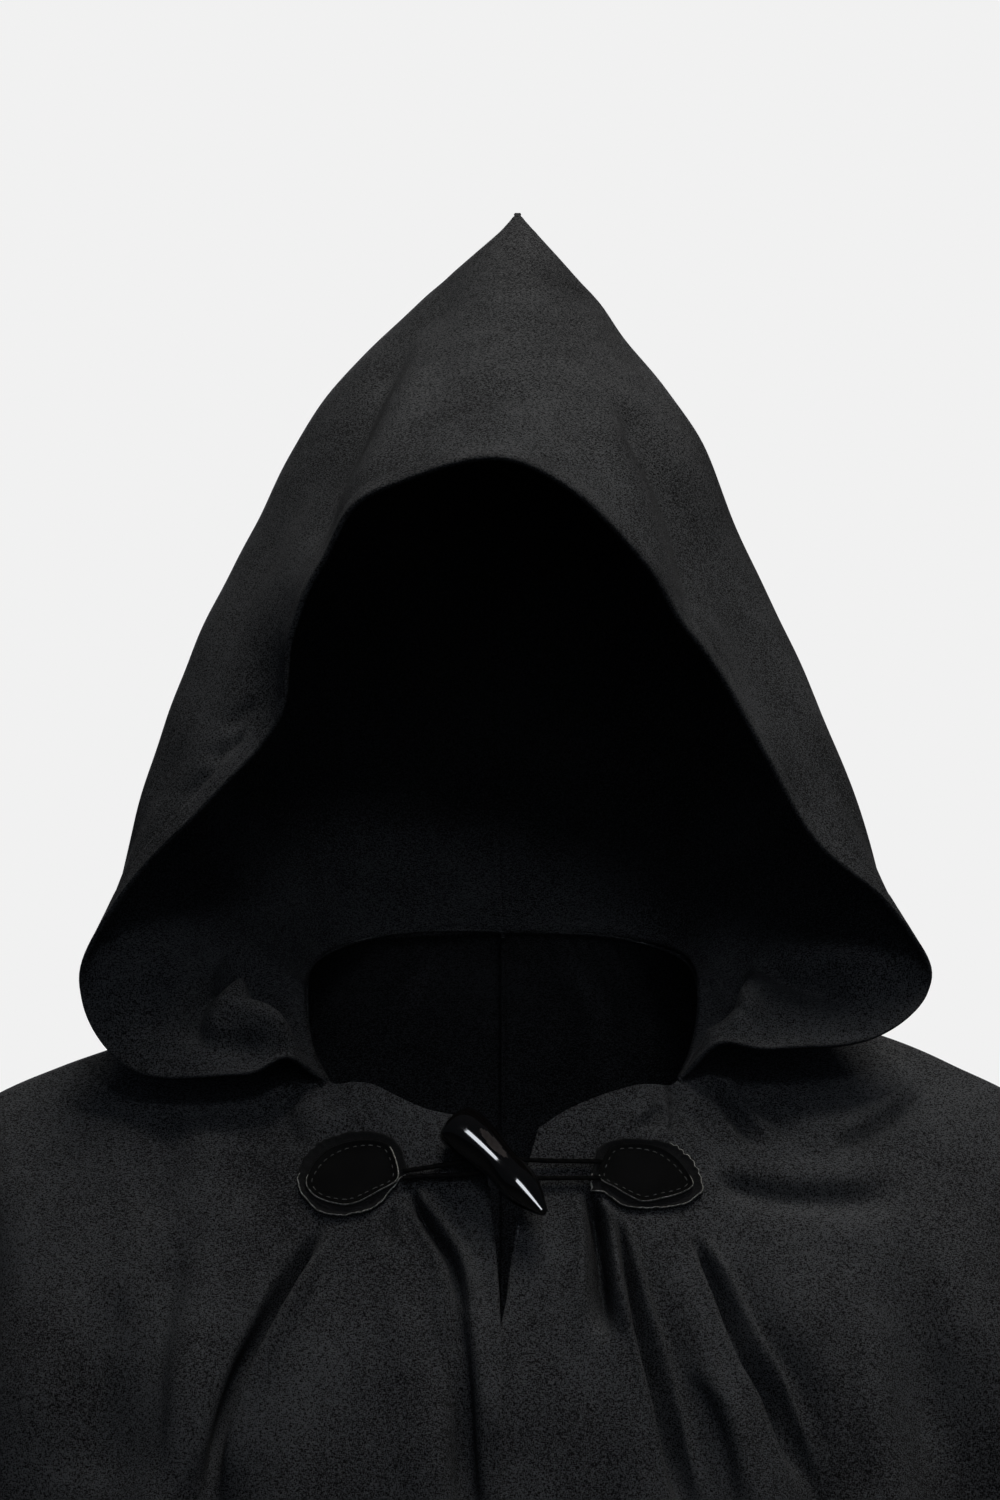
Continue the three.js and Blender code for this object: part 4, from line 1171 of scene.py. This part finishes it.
def makeToggle():
    low, _ = clothAt(1, 19, -46)
    high, _ = clothAt(1, 19, -30)
    slope = (high[1] - low[1]) / (high[2] - low[2])
    ends = []
    for x, z in (toggleSetup["thickEnd"], toggleSetup["thinEnd"]):
        ends.append(np.array([x, low[1] + slope * (z - low[2]) - toggleSetup["behind"], z]))
    way = ends[1] - ends[0]
    length = np.linalg.norm(way)
    way /= length
    across = np.cross(way, [0, 1, 0])
    across /= np.linalg.norm(across)
    out = np.cross(across, way)
    alongs, radii = np.array(toggleSetup["profile"]).T
    alongs = np.concatenate([np.linspace(a, b, 5)[:-1] for a, b in zip(alongs[:-1], alongs[1:])] + [[1.0]])
    radii = through(*np.array(toggleSetup["profile"]).T, alongs)
    sides = 96
    turns = np.linspace(0, 2 * np.pi, sides, endpoint=False)
    flat = toggleSetup["flat"]
    upper = 1 if across[2] > 0 else -1
    points, cuts = [], []
    for a, r in zip(alongs, np.maximum(radii, 0.02)):
        bend = upper * toggleSetup["bend"] * (np.sin(np.pi * a) - 0.6)
        middle = ends[0] + way * length * a + across * bend
        # The flat is a plane across the round, cut deepest in its middle.
        share = min(max((a - flat["start"]) / (flat["end"] - flat["start"]), 0), 1)
        away = turns + np.arccos(upper * math.sin(math.radians(flat["turn"])))
        inner = r - flat["depth"] * max(0, math.sin(math.pi * share))
        plane = inner / np.maximum(np.cos(away), 0.2)
        cuts.append(plane < r - 0.02)
        points.append([middle + q * (across * np.cos(t) + out * np.sin(t))
                       for t, q in zip(turns, np.minimum(plane, r))])
    points = np.array(points)
    points = np.concatenate([points, points[:, :1]], axis=1)
    mesh = meshFromGrid("hornToggle", points)
    mesh.materials.append(polishedHorn)
    mesh.materials.append(cutHorn)
    cuts = np.array(cuts)
    cuts = cuts & np.roll(cuts, -1, axis=1)
    mesh.polygons.foreach_set("material_index", (cuts[:-1] & cuts[1:]).ravel().astype(int))
    cleanMesh(mesh, 0.05 * mm)
    return addObject("hornToggle", mesh, None)


hornToggle = makeToggle()
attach(hornToggle, "root")
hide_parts("toggle")
print("toggle in its loops")


studio = {
    "ground": "f1f1f1",
    "roomTint": "c6d3e4",      # the little light that the room itself gives is cool
    "roomLight": 0.22,
    "roomMirrored": 0.03,      # what a polished piece mirrors is mostly a dark room
    "floorUp": -1.46,
    "floorReach": 9,
    "floorGlow": 0.5,          # only the camera sees it
    "overhead": dict(place=(0.4, -0.45, 2.3), target=(0, 0, 0.1), size=(0.9, 0.9), turn=0, power=82,
                     spread=180, tint="fffaf0", mirrored=False),
    # A gridded light on the chest.
    "front": dict(place=(0.3, -2.3, 1.6), target=(0, 0, -0.33), size=(0.7, 0.7), turn=0, power=0.45,
                  spread=18.4, tint="f4f8ff", mirrored=False),
    # A wide light behind, for the back of the cloak.
    "rear": dict(place=(-0.2, 2.9, 0.5), target=(0, 0, -0.5), size=(1.5, 1.5), turn=0, power=36, spread=120,
                 tint="f4f8ff", mirrored=True),
    # A long strip that only polished things mirror: it draws the bright line along the horn.
    "strip": dict(place=(0.5, -3.35, 0.15), target=(0, 0, -0.03), size=(1.1, 3.6), turn=45, power=100,
                  spread=180, tint="f4f8ff", mirrored=True, onlyMirrored=True),
}


def makeLight(name):
    setup = studio[name]
    data = bpy.data.lights.new(name, "AREA")
    data.shape = "RECTANGLE"
    data.size, data.size_y = setup["size"]
    data.energy = setup["power"]
    data.spread = math.radians(setup["spread"])
    data.color = linear(setup["tint"])[:3]
    light = bpy.data.objects.new(name, data)
    light.location = setup["place"]
    way = Vector(setup["target"]) - Vector(setup["place"])
    aim = way.to_track_quat("-Z", "Y").to_matrix() @ Matrix.Rotation(math.radians(setup["turn"]), 3, "Z")
    light.rotation_euler = aim.to_euler()
    light.visible_glossy = setup["mirrored"]
    light.visible_diffuse = not setup.get("onlyMirrored")
    bpy.context.collection.objects.link(light)


def makeStudio():
    scene = bpy.context.scene
    scene.view_settings.view_transform = "Standard"
    scene.view_settings.look = "None"
    world = bpy.data.worlds.new("paleRoom")
    scene.world = world
    world.use_nodes = True
    tree = world.node_tree
    seen = tree.nodes["Background"]
    seen.inputs["Color"].default_value = linear(studio["ground"])
    seen.inputs["Strength"].default_value = 1
    ray = addNode(tree, "ShaderNodeLightPath")
    strength = addNode(tree, "ShaderNodeMapRange", {}, {
        "Value": ray.outputs["Is Glossy Ray"],
        "To Min": studio["roomLight"], "To Max": studio["roomMirrored"]})
    given = addNode(tree, "ShaderNodeBackground", {}, {
        "Color": linear(studio["roomTint"]), "Strength": strength.outputs["Result"]})
    both = addNode(tree, "ShaderNodeMixShader", {}, {
        0: ray.outputs["Is Camera Ray"], 1: given.outputs[0], 2: seen.outputs[0]})
    tree.links.new(both.outputs[0], tree.nodes["World Output"].inputs["Surface"])
    mesh = bpy.data.meshes.new("floor")
    turns = np.linspace(0, 2 * math.pi, 64, endpoint=False)
    reach = studio["floorReach"]
    ring = [(reach * math.cos(a), reach * math.sin(a), studio["floorUp"]) for a in turns]
    mesh.from_pydata(ring, [], [tuple(range(len(ring)))])
    material, tree, shader = newMaterial("paleFloor")
    # It looks pale, but throws little light back up at the cloth.
    looked = addNode(tree, "ShaderNodeLightPath").outputs["Is Camera Ray"]
    seenColour = addNode(tree, "ShaderNodeMix", {"data_type": "RGBA"}, {
        0: looked, 6: linear("303030"), 7: linear("ececec")})
    tree.links.new(seenColour.outputs[2], shader.inputs["Base Color"])
    glow = addNode(tree, "ShaderNodeMath", {"operation": "MULTIPLY"}, {0: looked, 1: studio["floorGlow"]})
    shader.inputs["Emission Color"].default_value = linear(studio["ground"])
    tree.links.new(glow.outputs[0], shader.inputs["Emission Strength"])
    shader.inputs["Roughness"].default_value = 0.9
    shader.inputs["Specular IOR Level"].default_value = 0
    floor = addObject("floor", mesh, material)
    for name in ("overhead", "front", "rear", "strip"):
        makeLight(name)


makeStudio()
print("studio lit")
